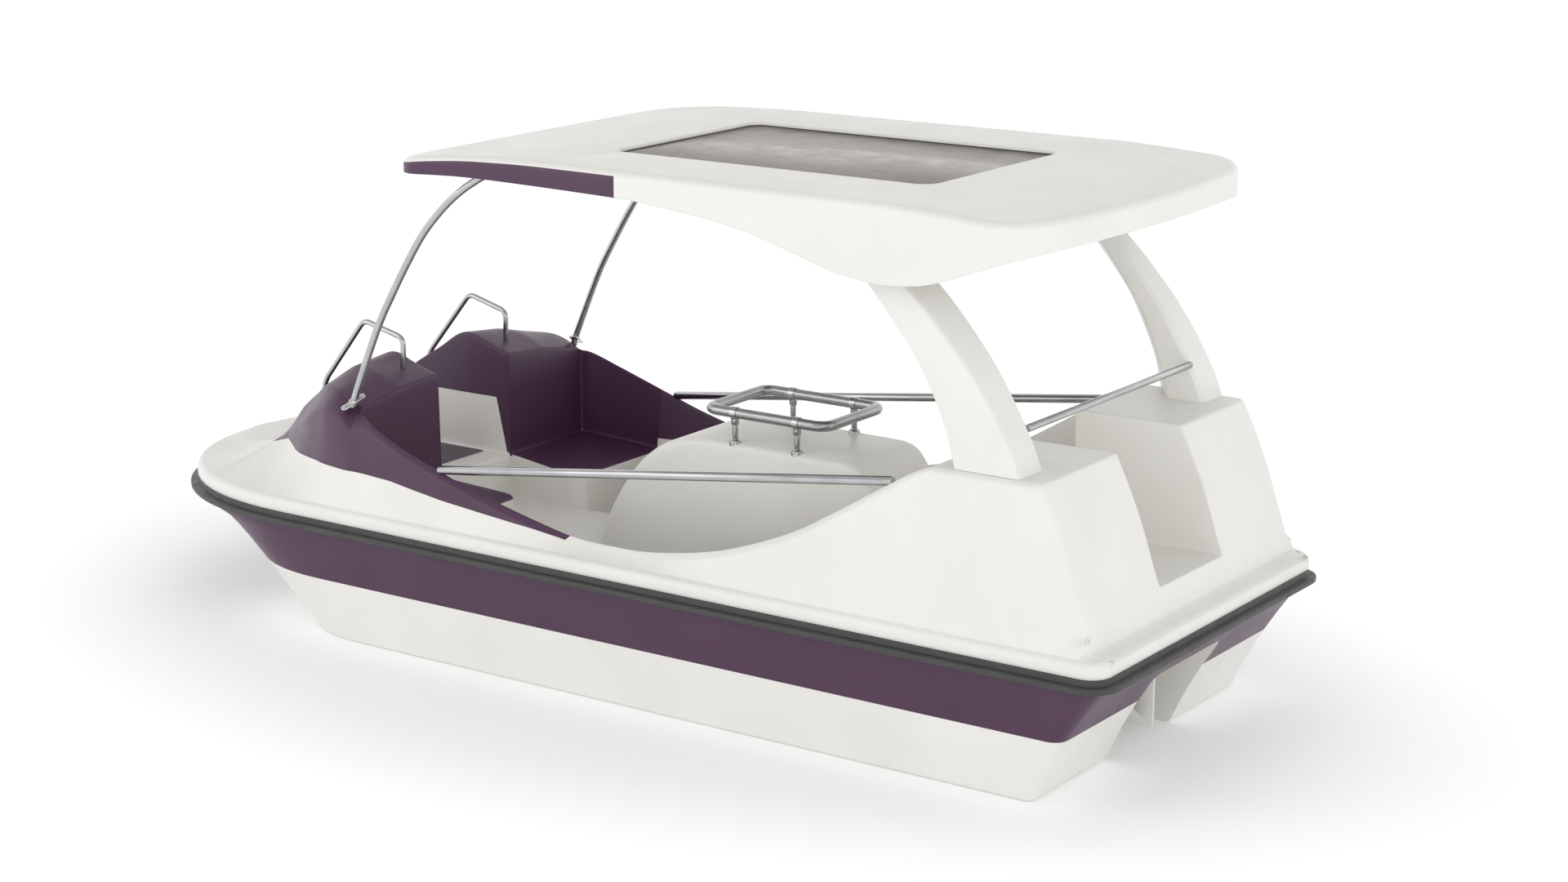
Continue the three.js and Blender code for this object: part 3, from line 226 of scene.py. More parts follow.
def tidy_mesh(piece, smooth_angle=35, merge=0.00005):
    build = bmesh.new()
    build.from_mesh(piece.data)
    bmesh.ops.remove_doubles(build, verts=build.verts, dist=merge)
    bmesh.ops.dissolve_degenerate(build, edges=build.edges, dist=merge)
    bmesh.ops.recalc_face_normals(build, faces=build.faces)
    for face in build.faces:
        face.smooth = True
    for edge in build.edges:
        sharp = len(edge.link_faces) == 2 and edge.calc_face_angle(0) > math.radians(smooth_angle)
        edge.smooth = not sharp
    build.to_mesh(piece.data)
    build.free()


def ring_skin(name, rings, closed=False, smooth_angle=35):
    """Skin through rings with equal point counts; closed joins the last ring to the first."""
    count = len(rings[0])
    faces = []
    turns = len(rings) if closed else len(rings) - 1
    for r in range(turns):
        here, on = r * count, ((r + 1) % len(rings)) * count
        for i in range(count):
            j = (i + 1) % count
            faces.append((here + i, here + j, on + j, on + i))
    if not closed:
        faces.append(tuple(range(count)))
        faces.append(tuple(range((len(rings) - 1) * count, len(rings) * count)))
    return new_object(name, [p for ring in rings for p in ring], faces, smooth_angle)


def apply_modifiers(piece):
    graph = bpy.context.evaluated_depsgraph_get()
    graph.update()
    shown = piece.evaluated_get(graph)
    mesh = bpy.data.meshes.new_from_object(shown, preserve_all_data_layers=True, depsgraph=graph)
    piece.modifiers.clear()
    piece.data = mesh
    return piece


def carve(piece, tool):
    """Cut a piece with another mesh, which is then removed."""
    modifier = piece.modifiers.new("carve", "BOOLEAN")
    modifier.operation = "DIFFERENCE"
    modifier.solver = "EXACT"
    modifier.object = tool
    modifier.material_mode = "TRANSFER"
    apply_modifiers(piece)
    bpy.data.objects.remove(tool)
    return piece


def round_edges(piece, width, segments=3, angle=32):
    modifier = piece.modifiers.new("round", "BEVEL")
    modifier.width = width
    modifier.segments = segments
    modifier.limit_method = "ANGLE"
    modifier.angle_limit = math.radians(angle)
    modifier.use_clamp_overlap = True
    apply_modifiers(piece)
    tidy_mesh(piece, 50)
    return piece


def block(name, low, high, round_by=0.0, segments=3):
    (x0, y0, z0), (x1, y1, z1) = low, high
    corners = [(x, y, z) for z in (z0, z1) for y in (y0, y1) for x in (x0, x1)]
    faces = [(0, 2, 3, 1), (4, 5, 7, 6), (0, 1, 5, 4), (2, 6, 7, 3), (0, 4, 6, 2), (1, 3, 7, 5)]
    piece = new_object(name, corners, faces)
    return round_edges(piece, round_by, segments) if round_by else piece


def frame_along(points, closed=False):
    """Two unit vectors across the path at each point, carried along without twist."""
    count = len(points)
    tangents = []
    for k in range(count):
        before = points[k - 1] if k or closed else points[0]
        after = points[(k + 1) % count] if k < count - 1 or closed else points[-1]
        tangents.append((after - before).normalized())
    side = tangents[0].cross(UP)
    if side.length < 0.1:
        side = tangents[0].cross(ACROSS)
    side.normalize()
    frames = []
    for tangent in tangents:
        side = (side - tangent * side.dot(tangent)).normalized()
        frames.append((side, tangent.cross(side)))
    return frames


def tube(name, points, radius, sides=24, closed=False, dome=0.002):
    """Round bar along a path; open ends are slightly domed."""
    points = [Vector(p) for p in points]
    radii = [radius] * len(points)
    if not closed:
        start = (points[0] - points[1]).normalized()
        end = (points[-1] - points[-2]).normalized()
        points = [points[0] + start * dome, points[0] + start * dome * 0.6] + points
        points += [points[-1] + end * dome * 0.6, points[-1] + end * dome]
        radii = [radius - dome, radius - dome * 0.35] + radii + [radius - dome * 0.35, radius - dome]
    rings = []
    for (u, v), p, r in zip(frame_along(points, closed), points, radii):
        turns = [2 * math.pi * i / sides for i in range(sides)]
        rings.append([p + u * (r * math.cos(t)) + v * (r * math.sin(t)) for t in turns])
    return ring_skin(name, rings, closed=closed, smooth_angle=50)


def bent(points, bend, steps=10):
    """Path of straight runs with round bends."""
    points = [Vector(p) for p in points]
    path = [points[0]]
    for before, here, after in zip(points, points[1:], points[2:]):
        back, on = before - here, after - here
        reach = min(bend, back.length / 2.1, on.length / 2.1)
        start, end = here + back.normalized() * reach, here + on.normalized() * reach
        for i in range(steps + 1):
            t = i / steps
            path.append(start * (1 - t) ** 2 + here * (2 * t * (1 - t)) + end * t * t)
    return path + [points[-1]]


def revolved(profile, place, axis, sides):
    """Rings of a round piece from (radius, height) pairs, standing at a point along an axis."""
    turn = UP.rotation_difference(axis)
    angles = [2 * math.pi * i / sides for i in range(sides)]
    rings = []
    for radius, height in profile:
        ring = [Vector((radius * math.cos(a), radius * math.sin(a), height)) for a in angles]
        rings.append([turn @ p + place for p in ring])
    return rings


def turned(name, profile, place, axis=UP, sides=40):
    return ring_skin(name, revolved(profile, place, axis, sides), smooth_angle=40)


def bored(name, outer, inner, low, high, place, axis=UP, chamfer=0.001, sides=40):
    """Round sleeve with a bore through it."""
    profile = [(inner, low), (outer - chamfer, low), (outer, low + chamfer), (outer, high - chamfer),
               (outer - chamfer, high), (inner, high)]
    return ring_skin(name, revolved(profile, place, axis, sides), closed=True, smooth_angle=40)


def joined(name, *pieces):
    """One object from several."""
    build = bmesh.new()
    for piece in pieces:
        copy = piece.data.copy()
        copy.transform(piece.matrix_world)
        build.from_mesh(copy)
        bpy.data.meshes.remove(copy)
    mesh = bpy.data.meshes.new(name)
    build.to_mesh(mesh)
    build.free()
    result = bpy.data.objects.new(name, mesh)
    bpy.context.scene.collection.objects.link(result)
    for piece in pieces:
        bpy.data.objects.remove(piece)
    return result


def place(piece, slot, body, *nodes, material=None):
    """Give a piece its material if it has none, the given one or else the one listed for its slot, and its
    body, and hide the CAD nodes.
    """
    if not any(piece.data.materials):
        piece.data.materials.clear()
        piece.data.materials.append(material or FINISHES[slot])
    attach(piece, body)
    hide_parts(*nodes)


# ---- materials ----
class Shader:
    """A Principled material whose patterns are built from object coordinates."""

    def __init__(self, name):
        self.material = bpy.data.materials.new(name)
        self.material.use_nodes = True
        tree = self.material.node_tree
        self.nodes, self.links = tree.nodes, tree.links
        self.bsdf = next(n for n in self.nodes if n.type == "BSDF_PRINCIPLED")
        self.place = self.node("TexCoord", {}, "Object")
        split = self.nodes.new("ShaderNodeSeparateXYZ")
        self.put(split.inputs[0], self.place)
        self.x, self.y, self.z = split.outputs

    def put(self, socket, value):
        """Wire an output to a socket, or set the socket to a constant."""
        if hasattr(value, "is_output"):
            self.links.new(value, socket)
        else:
            socket.default_value = value

    def node(self, kind, inputs, output=0, **settings):
        """Add a node, set it up, feed it and return one of its outputs."""
        node = self.nodes.new("ShaderNode" + kind)
        for name, value in settings.items():
            setattr(node, name, value)
        for key, value in inputs.items():
            self.put(node.inputs[key], value)
        return node.outputs[output]

    def surface(self, **inputs):
        """Feed the surface's inputs, named with underscores for spaces."""
        for name, value in inputs.items():
            self.put(self.bsdf.inputs[name.replace("_", " ")], value)

    def math(self, operation, a, b=0.0):
        return self.node("Math", {0: a, 1: b}, operation=operation)

    def above(self, value, limit):
        return self.math("GREATER_THAN", value, limit)

    def every(self, *shares):
        return functools.reduce(functools.partial(self.math, "MULTIPLY"), shares)

    def either(self, *shares):
        return functools.reduce(functools.partial(self.math, "MAXIMUM"), shares)

    def noise(self, scale, detail, stretch=None):
        place = self.node("Mapping", {"Vector": self.place, "Scale": stretch}) if stretch else self.place
        return self.node("TexNoise", {"Vector": place, "Scale": scale, "Detail": detail}, "Fac")

    def span(self, value, low, high, start=0.3, end=0.7):
        """Map a value from one range to another; the first is by default that of a noise."""
        ranges = {"From Min": start, "From Max": end, "To Min": low, "To Max": high}
        return self.node("MapRange", {"Value": value, **ranges})

    def mottle(self, scale, detail):
        return self.span(self.noise(scale, detail), 0, 1)

    def mix(self, share, a, b):
        return self.node("Mix", {0: share, 6: a, 7: b}, 2, data_type="RGBA")

    def table(self, value, points):
        """A function of a coordinate, straight between its (coordinate, result) pairs."""
        (x0, x1), (y0, y1) = [(min(v), max(v)) for v in zip(*points)]
        ramp = self.nodes.new("ShaderNodeValToRGB")
        marks = ramp.color_ramp.elements
        while len(marks) < len(points):
            marks.new(0.5)
        for mark, (x, y) in zip(marks, points):
            mark.position = (x - x0) / (x1 - x0)
            share = (y - y0) / (y1 - y0)
            mark.color = (share, share, share, 1)
        self.put(ramp.inputs[0], self.span(value, 0, 1, x0, x1))
        return self.span(ramp.outputs[0], y0, y1, 0, 1)

    def bump(self, height, strength, distance):
        self.surface(Normal=self.node("Bump", {"Height": height, "Strength": strength, "Distance": distance}))


# Each colour as moulded and as worn.
WHITES = (0.80, 0.79, 0.758, 1), (0.765, 0.75, 0.71, 1)
PURPLES = (0.058, 0.019, 0.055, 1), (0.066, 0.024, 0.062, 1)
COAMING = {"tip": 1.862, "edge": 0.7, "slant": 0.9, "inner": 0.6, "bow": 2.9}
# Edges of the coloured fields: bow seat aft and forward, console aft and forward, passage wall aft,
# forward, inner and outer.
SEAT_FIELD, CONSOLE_FIELD, PASSAGE_FIELD = (2.523, 2.8947), (2.8946, 3.69), (2.8865, 3.64, 0.1985, 0.2156)
CONSOLE_INNER = 0.2155
INNER_WALL = (2.56, 0.712)


def gelcoat(name, mask=None, colours=WHITES):
    """Gelcoat with a fine pebbled skin, faint mottling and, where the mask is 1, the second colour."""
    shader = Shader(name)
    mottle = shader.mottle(3.1, 5)
    colour = shader.mix(mottle, *colours)
    if mask:
        colour = shader.mix(mask(shader), colour, shader.mix(mottle, *PURPLES))
    shader.surface(Base_Color=colour, Roughness=shader.span(shader.noise(7, 6), 0.36, 0.47),
                   Coat_Weight=0.12, Coat_Roughness=0.25, Specular_IOR_Level=0.42)
    pebble = shader.math("ADD", shader.noise(420, 2), shader.math("MULTIPLY", shader.noise(14, 2), 2.5))
    shader.bump(pebble, 0.22, 0.0006)
    return shader.material


def deck_mask(s):
    """Where the deck is coloured: consoles, bow seats and the forward coaming."""
    x, y, z = s.math("SUBTRACT", s.x, SHIFT), s.math("ABSOLUTE", s.y), s.z
    slant = s.math("MULTIPLY", s.math("SUBTRACT", y, COAMING["edge"]), COAMING["slant"])
    tip = s.above(x, s.math("ADD", slant, COAMING["tip"]))
    outside = s.above(y, COAMING["inner"])
    coaming = s.every(s.above(z, s.table(x, COLLAR)), tip, outside, s.above(COAMING["bow"], x))
    console = s.every(s.above(z, s.table(x, CONSOLE_FOOT)), s.above(y, CONSOLE_INNER),
                      s.above(x, CONSOLE_FIELD[0]), s.above(CONSOLE_FIELD[1], x))
    seat = s.every(s.above(z, s.table(x, SEAT_PAN)), s.above(y, s.table(x, SEAT_INNER)),
                   s.above(x, SEAT_FIELD[0]), s.above(SEAT_FIELD[1], x), s.above(s.table(x, SEAT_OUTER), y))
    inside = s.every(s.above(z, s.table(x, WALL_LINE)), tip, s.above(INNER_WALL[1], y), outside,
                     s.above(INNER_WALL[0], x))
    aft, bow, inner, outer = PASSAGE_FIELD
    passage = s.every(s.above(z, s.table(x, PASSAGE_LINE)), s.above(x, aft), s.above(bow, x),
                      s.above(outer, y), s.above(y, inner))
    return s.either(coaming, console, seat, inside, passage)


def metal(name, colour, rough, stretch=None, scale=60):
    shader = Shader(name)
    grain = shader.noise(scale, 6, stretch)
    dull = tuple(0.86 * c for c in colour[:3]) + (1,)
    shader.surface(Base_Color=shader.mix(shader.mottle(11, 3), colour, dull),
                   Roughness=shader.span(grain, *rough), Metallic=1.0)
    shader.bump(grain, 0.08, 0.0003)
    return shader.material


def moulded(name, colour, worn, rough=(0.5, 0.68), grain=300, depth=0.0005, strength=0.35):
    shader = Shader(name)
    shader.surface(Base_Color=shader.mix(shader.mottle(9, 6), colour, worn),
                   Roughness=shader.span(shader.noise(22, 5), *rough))
    shader.bump(shader.noise(grain, 3), strength, depth)
    return shader.material


def glazing():
    shader = Shader("smoked_acrylic")
    tint = shader.mix(shader.mottle(5, 5), (0.24, 0.207, 0.184, 1), (0.215, 0.185, 0.164, 1))
    shader.surface(Base_Color=tint, Roughness=shader.span(shader.noise(13, 4), 0.18, 0.3), IOR=1.4,
                   Alpha=0.88)
    return shader.material


M_WHITE = gelcoat("gelcoat_white")
M_DECK = gelcoat("gelcoat_deck", deck_mask)
M_HULL = gelcoat("gelcoat_hull", lambda shader: shader.above(shader.z, BAND_LOW))
M_PURPLE = gelcoat("gelcoat_purple", None, PURPLES)
M_BRUSHED = metal("brushed_steel", (0.42, 0.42, 0.43, 1), (0.2, 0.36), (1, 12, 12), 90)
FINISHES = {
    "white_gelcoat": M_WHITE,
    "brushed_stainless": M_BRUSHED,
    "polished_stainless": metal("polished_steel", (0.5, 0.5, 0.51, 1), (0.08, 0.2)),
    "smoked_glazing": glazing(),
    "rub_rail_rubber": moulded("rail_rubber", (0.036, 0.038, 0.037, 1), (0.048, 0.05, 0.048, 1), (0.38,
                                                                                                  0.55), 240),
    "floor_pad": moulded("pad_weave", (0.12, 0.098, 0.118, 1), (0.142, 0.118, 0.138, 1), (0.7, 0.85), 500,
                         0.001, 0.7),
    "black_nylon": moulded("bearing_nylon", (0.022, 0.022, 0.024, 1), (0.032, 0.032, 0.034, 1)),
    "pedal_plastic": moulded("pedal_plastic", (0.03, 0.03, 0.032, 1), (0.045, 0.045, 0.047, 1), (0.45,
                                                                                                 0.6), 360),
    "wheel_polymer": moulded("wheel_polymer", (0.58, 0.57, 0.53, 1), (0.5, 0.49, 0.45, 1), (0.45, 0.6), 200),
    "grip_rubber": moulded("grip_rubber", (0.02, 0.02, 0.02, 1), (0.03, 0.03, 0.03, 1), (0.6, 0.8), 700,
                           0.0012, 0.8),
}


# ---- hull ----
DECK_NODES = ("stern_deck", "stern_seats", "cockpit_sole", "bow_seats", "bow_deck", "foot_well_port",
              "foot_well_starboard", "side_deck_port", "side_deck_starboard")
HULL_NODES = ("pontoon_port", "pontoon_starboard", "tunnel_panel")
# Heights of the hull's waterlines and how far each is drawn in to round the keel.
HULL_LEVELS = ((0.0, 0.012), (0.003, 0.005), (0.009, 0.001), (0.02, 0), (0.036, 0), (0.065, 0), (0.1, 0),
               (0.15, 0), (0.19, 0), (0.23, 0), (0.3, 0), (0.34, 0), (0.376, 0), (0.41, 0), (0.445, 0))
WALL = 0.008
HULL_TOP = 0.445
HULL_POWER = 2.45  # fullness of the waterlines at the nose
SLOT = {"half_length": 0.4, "half_width": 0.16}  # opening over the paddle wheel
STOCK_HOLE = 0.024
TUNNEL_FLARE = [(-0.4, 0), (2.6, 0), (3.0, 0.025), (3.4, 0.09), (3.9, 0.26), (4.2, 0.42)]


def transom(z):
    return max(-(0.4 * z + 0.45 * z * z), STERN + RAIL_INNER + 0.0003)


def waterline(z, inset):
    half, start, length = [smooth([(w[0], w[k]) for w in WATERLINES], z) for k in (1, 2, 3)]
    radius = 0.025 + 0.045 * z / HULL_TOP
    return plan_ring(transom(z) + inset, half - inset, start, length - inset, HULL_POWER, radius)


def envelope(name):
    return ring_skin(name, [[at(x, y, z) for x, y in waterline(z, more)] for z, more in HULL_LEVELS])


def hollow(name, inset, top):
    """The hull's inside, carried up past its top edge."""
    levels = [(inset, 0)] + [level for level in HULL_LEVELS if level[0] > inset]
    rings = [[at(x, y, z) for x, y in waterline(z, inset + more)] for z, more in levels]
    rings.append([p + UP * (top - HULL_TOP) for p in rings[-1]])
    return ring_skin(name, rings)


def tunnel(name, grow, floor):
    """The water passage between the floats; grow makes it larger all round."""
    first, last = TUNNEL_FLARE[0][0], TUNNEL_FLARE[-1][0]
    rings = []
    for i in range(47):
        x = first + (last - first) * i / 46
        out = smooth(TUNNEL_FLARE, x)
        low, high = TUNNEL_HALF + out + grow, TUNNEL_TOP + out * 0.4 + grow
        top = TUNNEL_CEILING + grow
        port = [(low - 0.006, floor), (low, 0.004), (low + 0.005, 0.13), (high - 0.002, top - 0.03),
                (high - 0.008, top - 0.012), (high - 0.02, top - 0.003), (high - 0.03, top)]
        section = port + [(-y, z) for y, z in reversed(port)]
        rings.append([at(x, y, z) for y, z in section])
    return ring_skin(name, rings)


def slot_cutter(low, high):
    long, wide = SLOT["half_length"], SLOT["half_width"]
    return block("slot_cutter", at(AXLE.x - long, -wide, low), at(AXLE.x + long, wide, high))


def hull():
    inner = carve(hollow("inner", WALL, 0.5), tunnel("inner_tunnel", WALL, -0.06))
    shell = envelope("hull")
    shell.data.materials.append(M_HULL)
    hole = turned("hole", [(STOCK_HOLE, 0.25), (STOCK_HOLE, 0.42)], at(RUDDER_X, 0, 0))
    for tool in (tunnel("tunnel", 0, -0.05), inner, slot_cutter(0.2, 0.6), hole):
        tool.data.materials.append(M_WHITE)
        carve(shell, tool)
    tidy_mesh(shell, 30)
    place(shell, "two_tone_gelcoat", "boat", *HULL_NODES)


def hoop(name, section):
    rings = [[at(x, y, z) for x, y in outline(inset)] for inset, z in section]
    return ring_skin(name, rings, closed=True, smooth_angle=38)


# Sections of the rub rail and of the deck's bead over it: inset from the beam, and height.
RAIL_SECTION = [
    (0.0045, 0.4272), (0.0018, 0.428), (0.0005, 0.4298), (0, 0.432), (0, 0.442), (0.0005, 0.4444),
    (0.0018, 0.4462), (0.0045, 0.447), (0.024, 0.4475), (0.0268, 0.4485), (0.028, 0.451),
    (0.028, 0.4645), (0.0288, 0.4668), (0.031, 0.4678), (0.0347, 0.468), (0.0347, 0.4272),
]
BEAD_SECTION = [
    (0.0353, 0.4455), (0.0353, 0.4683), (0.0315, 0.4684), (0.0285, 0.472), (0.027, 0.479),
    (0.0265, 0.49), (0.0275, 0.501), (0.0305, 0.51), (0.035, 0.516), (0.041, 0.5205), (0.049, 0.5235),
    (0.06, 0.5245), (0.06, 0.508), (0.045, 0.504), (0.045, 0.4455),
]


# ---- deck ----
FLANK = (0.05, 0.11, 0.19, 0.3, 0.45, 0.62, 0.8, 0.92)  # shares of the way down a side
CREASE = 0.62  # share of the flank where a console meets the side deck
SUPPORT = 0.016  # reach of a moulded edge's rounding
SOLE_SUPPORT = 0.028  # and where a wall meets the sole
SLOT_HALF = 0.164
CORNERS = (0.067, 0.045)  # plan radius of the towers' outer aft corners at the foot and at the top
FOOT = ((-0.01, 0.0015), (-0.006, 0.0012), (0.002, -0.0065))  # how a side runs out over the bead
BENCH_END, WELL_AFT, SEATS_AFT, CONSOLE_AFT, CONSOLE_BOW = 0.66, 0.85, 2.525, 2.8895, 3.6
HOUSING_ENDS = (1.076, 1.884)  # stations between which the sole is open for the paddle wheel
WALL_Y, RIM_WIDTH, RIM_DROP = 0.7, 0.02, 0.024  # cockpit wall and the rounding of its rim
INNER_WALLS = {"seat": 0.25, "well": 0.254}
CONSOLE_CORNER = (0.652, 0.866)  # where the coaming's rim meets a console
TOWER_SIDE, TOWER_LEAN = 0.716, 0.03
TOWER_FULLNESS, COAMING_FULLNESS = 0.63, 0.45
# Inner and outer edges of a bow seat.
SEAT_INSIDE = [(2.525, 0.217), (2.57, 0.178), (2.66, 0.184), (2.76, 0.194), (2.85, 0.204), (2.89, 0.208)]
SEAT_OUTSIDE = [(2.525, 0.7), (2.57, 0.7), (2.66, 0.696), (2.76, 0.684), (2.85, 0.668), (2.89, 0.66)]


def mix(a, b, t):
    return tuple(p + (q - p) * t for p, q in zip(a, b))


def ease(x, low, high):
    t = min(max((x - low) / (high - low), 0), 1)
    return t * t * (3 - 2 * t)


def flank_points(crest, foot, fullness):
    """Points down the side; fullness 0.45 is nearly straight, more bellies outward."""
    middle = (crest[0] + (foot[0] - crest[0]) * fullness, crest[1] + (foot[1] - crest[1]) * 0.5)
    knee = tuple(2 * m - (a + b) / 2 for m, a, b in zip(middle, crest, foot))
    return [mix(mix(crest, knee, t), mix(knee, foot, t), t) for t in FLANK]


def supported(keys):
    """A section with two more points beside each of its corners, to hold the corner's rounding."""
    line = [keys[0], (min(SLOT_HALF, keys[1][0] * 0.8), keys[0][1])]
    chain = [line[1]] + keys[1:6]
    for k in range(1, 5):
        reach = SOLE_SUPPORT if k == 1 else SUPPORT
        line += [beside(chain[k], chain[k - 1], reach), chain[k], beside(chain[k], chain[k + 1], reach)]
    return line + list(keys[5:])


def beside(here, other, reach):
    """A point a short way from here to the other, at most a third of the way."""
    gap = math.dist(here, other)
    return mix(here, other, min(reach / gap, 0.34)) if gap > 1e-6 else here


def side_feet(x):
    edge = half_breadth(x, EDGE_INSET)
    return [(max(edge + dy, 0.002), EDGE_Z + dz) for dy, dz in FOOT]


def tower_side(height):
    return TOWER_SIDE + TOWER_LEAN * (TOWER_TOP - height)


def tower_row(x, height):
    outer = tower_side(height)
    step = min(height, STERN_STEP)
    crest = (outer, height - 0.014)
    keys = [(0, step), (TOWER_INNER, step), (TOWER_INNER, height), (0.45, height),
            (outer - 0.02, height), crest]
    feet = side_feet(x)
    return x, supported(keys + flank_points(crest, feet[0], TOWER_FULLNESS) + feet)


def cockpit_row(x, sole, inner, low, outer_low, edge=WALL_Y):
    """Sole, step, seat or well and rim; the rim changes shape near the towers and the consoles."""
    z = smooth(SHEER, x)
    to_tower = 1 - ease(x, TOWER_FRONT, 0.525)
    crest = (edge + RIM_WIDTH - 0.004 * to_tower, z - RIM_DROP + 0.01 * to_tower)
    top = (edge - 0.004 * to_tower, z)
    feet = side_feet(x)
    fullness = COAMING_FULLNESS + (TOWER_FULLNESS - COAMING_FULLNESS) * to_tower
    flank = flank_points(crest, feet[0], fullness)
    to_console = ease(x, 2.8, CONSOLE_AFT)
    if to_console > 0:
        console = console_section(CONSOLES[0])
        top = mix(top, CONSOLE_CORNER, to_console)
        crest = mix(crest, console[5], to_console)
        flank = [mix(a, b, to_console) for a, b in zip(flank, console[6:14])]
    return x, supported([(0, sole), (inner, sole), low, outer_low, top, crest] + flank + feet)


def seat_row(x, sole, inner, pan, edge=WALL_Y):
    return cockpit_row(x, sole, inner, (inner, pan), (edge - 0.012, pan), edge)


def well_row(x):
    return cockpit_row(x, SOLE, INNER_WALLS["well"], (WELL_INNER, WELL_FLOOR), (WELL_OUTER, WELL_FLOOR))


def console_section(row):
    x, inner, middle, outer, crest, crease = row
    feet = side_feet(x)
    foot = feet[0]
    flank = []
    for t in FLANK:
        if t <= CREASE:
            flank.append(mix(crest, crease, t / CREASE))
        else:
            down = (t - CREASE) / (1 - CREASE)
            dip = 0.006 * math.sin(math.pi * down) * min((foot[0] - crease[0]) / 0.1, 1)
            y, z = mix(crease, foot, down)
            flank.append((y, z - dip))
    return [(0, BOW_STEP), (0.2, BOW_STEP), inner, middle, outer, crest] + flank + feet


def console_row(x):
    row = [x]
    for k in range(1, 6):
        row.append(tuple(smooth([(c[0], c[k][axis]) for c in CONSOLES], x) for axis in (0, 1)))
    return x, supported(console_section(row))


FOREDECK_SHARES = (0.06, 0.12, 0.19, 0.26, 0.34, 0.43, 0.52, 0.61, 0.7, 0.8, 0.88, 0.94)
FOREDECK_STATIONS = (3.64, 3.68, 3.74, 3.8, 3.86, 3.91, 3.95, 3.985, 4.01, 4.025, 4.033)


def foredeck_row(x):
    z = smooth([(CONSOLE_BOW, 0.6)] + FOREDECK, x)
    feet = side_feet(x)
    foot = feet[0]
    inner = min(0.2, foot[0] * 0.45)
    across = []
    for s in FOREDECK_SHARES:
        across.append((inner + (foot[0] - inner) * s, z + (foot[1] - z) * s**1.4))
    return x, supported([(0, BOW_STEP), (inner, BOW_STEP)] + across + feet)


def stations(low, high, spacing):
    count = max(round((high - low) / spacing), 1)
    inside = [low + (high - low) * i / count for i in range(1, count)]
    reach = min(SUPPORT, (high - low) / 4)
    return [low, low + reach] + [x for x in inside if low + reach < x < high - reach] + [high - reach, high]


def pan_height(x):
    return 0.499 + 0.03 * (x - SEATS_AFT) / (2.889 - SEATS_AFT)


def deck_rows():
    """The sections of each run, from the stern to the bow. Runs meet in a wall across the boat."""
    heights = [0.52, 0.532, 0.545, 0.565, 0.585, 0.6, 0.612, STERN_STEP, 0.638]
    heights += [0.638 + (1.035 - 0.638) * i / 15 for i in range(1, 16)] + [TOWER_TOP]
    face = sorted((z, x) for x, z in STERN_FACE)
    stern = [tower_row(smooth(face, h), h) for h in heights]
    stern += [tower_row(x, TOWER_TOP) for x in stations(-0.009, TOWER_FRONT, 0.05)[1:]]
    inner = INNER_WALLS["seat"]
    bench = [seat_row(x, BENCH_Z, inner, BENCH_Z) for x in stations(TOWER_FRONT, BENCH_END, 0.045)]
    seats = [seat_row(x, SOLE, inner, BENCH_Z) for x in stations(BENCH_END, WELL_AFT, 0.045)]
    wells = [well_row(x) for x in sorted(stations(WELL_AFT, SEATS_AFT, 0.055) + list(HOUSING_ENDS))]
    bow = [seat_row(x, SOLE, smooth(SEAT_INSIDE, x), pan_height(x), smooth(SEAT_OUTSIDE, x))
           for x in stations(SEATS_AFT, CONSOLE_AFT, 0.04)]
    consoles = [console_row(x) for x in stations(CONSOLE_AFT, CONSOLE_BOW, 0.032)]
    return [stern, bench, seats, wells, bow, consoles + [foredeck_row(x) for x in FOREDECK_STATIONS]]


def wall_rows(last, first):
    """Two more rows in the wall between runs, near its top and bottom edges."""
    down = [beside(a, b, SUPPORT) for a, b in zip(last[1], first[1])]
    up = [beside(b, a, SUPPORT) for a, b in zip(last[1], first[1])]
    return [(last[0], down), (last[0], up)]


def round_corner(x, y, z):
    """Pull the stern's outer corners in to a round in plan."""
    face = smooth([(h, s) for s, h in STERN_FACE], min(max(z, 0.52), TOWER_TOP))
    into = x - face
    share = (z - EDGE_Z) / (TOWER_TOP - EDGE_Z)
    if share < 0.02:
        into = x - STERN - EDGE_INSET + 0.004
    corner = CORNERS[0] + (CORNERS[1] - CORNERS[0]) * min(max(share, 0), 1) ** 0.6
    if into >= corner:
        return y
    widest = HALF_BEAM - EDGE_INSET
    outer = min(tower_side(z), widest) if share > 0.1 else widest
    limit = outer - corner + math.sqrt(max(corner**2 - (corner - max(into, 0)) ** 2, 0))
    return min(y, limit)


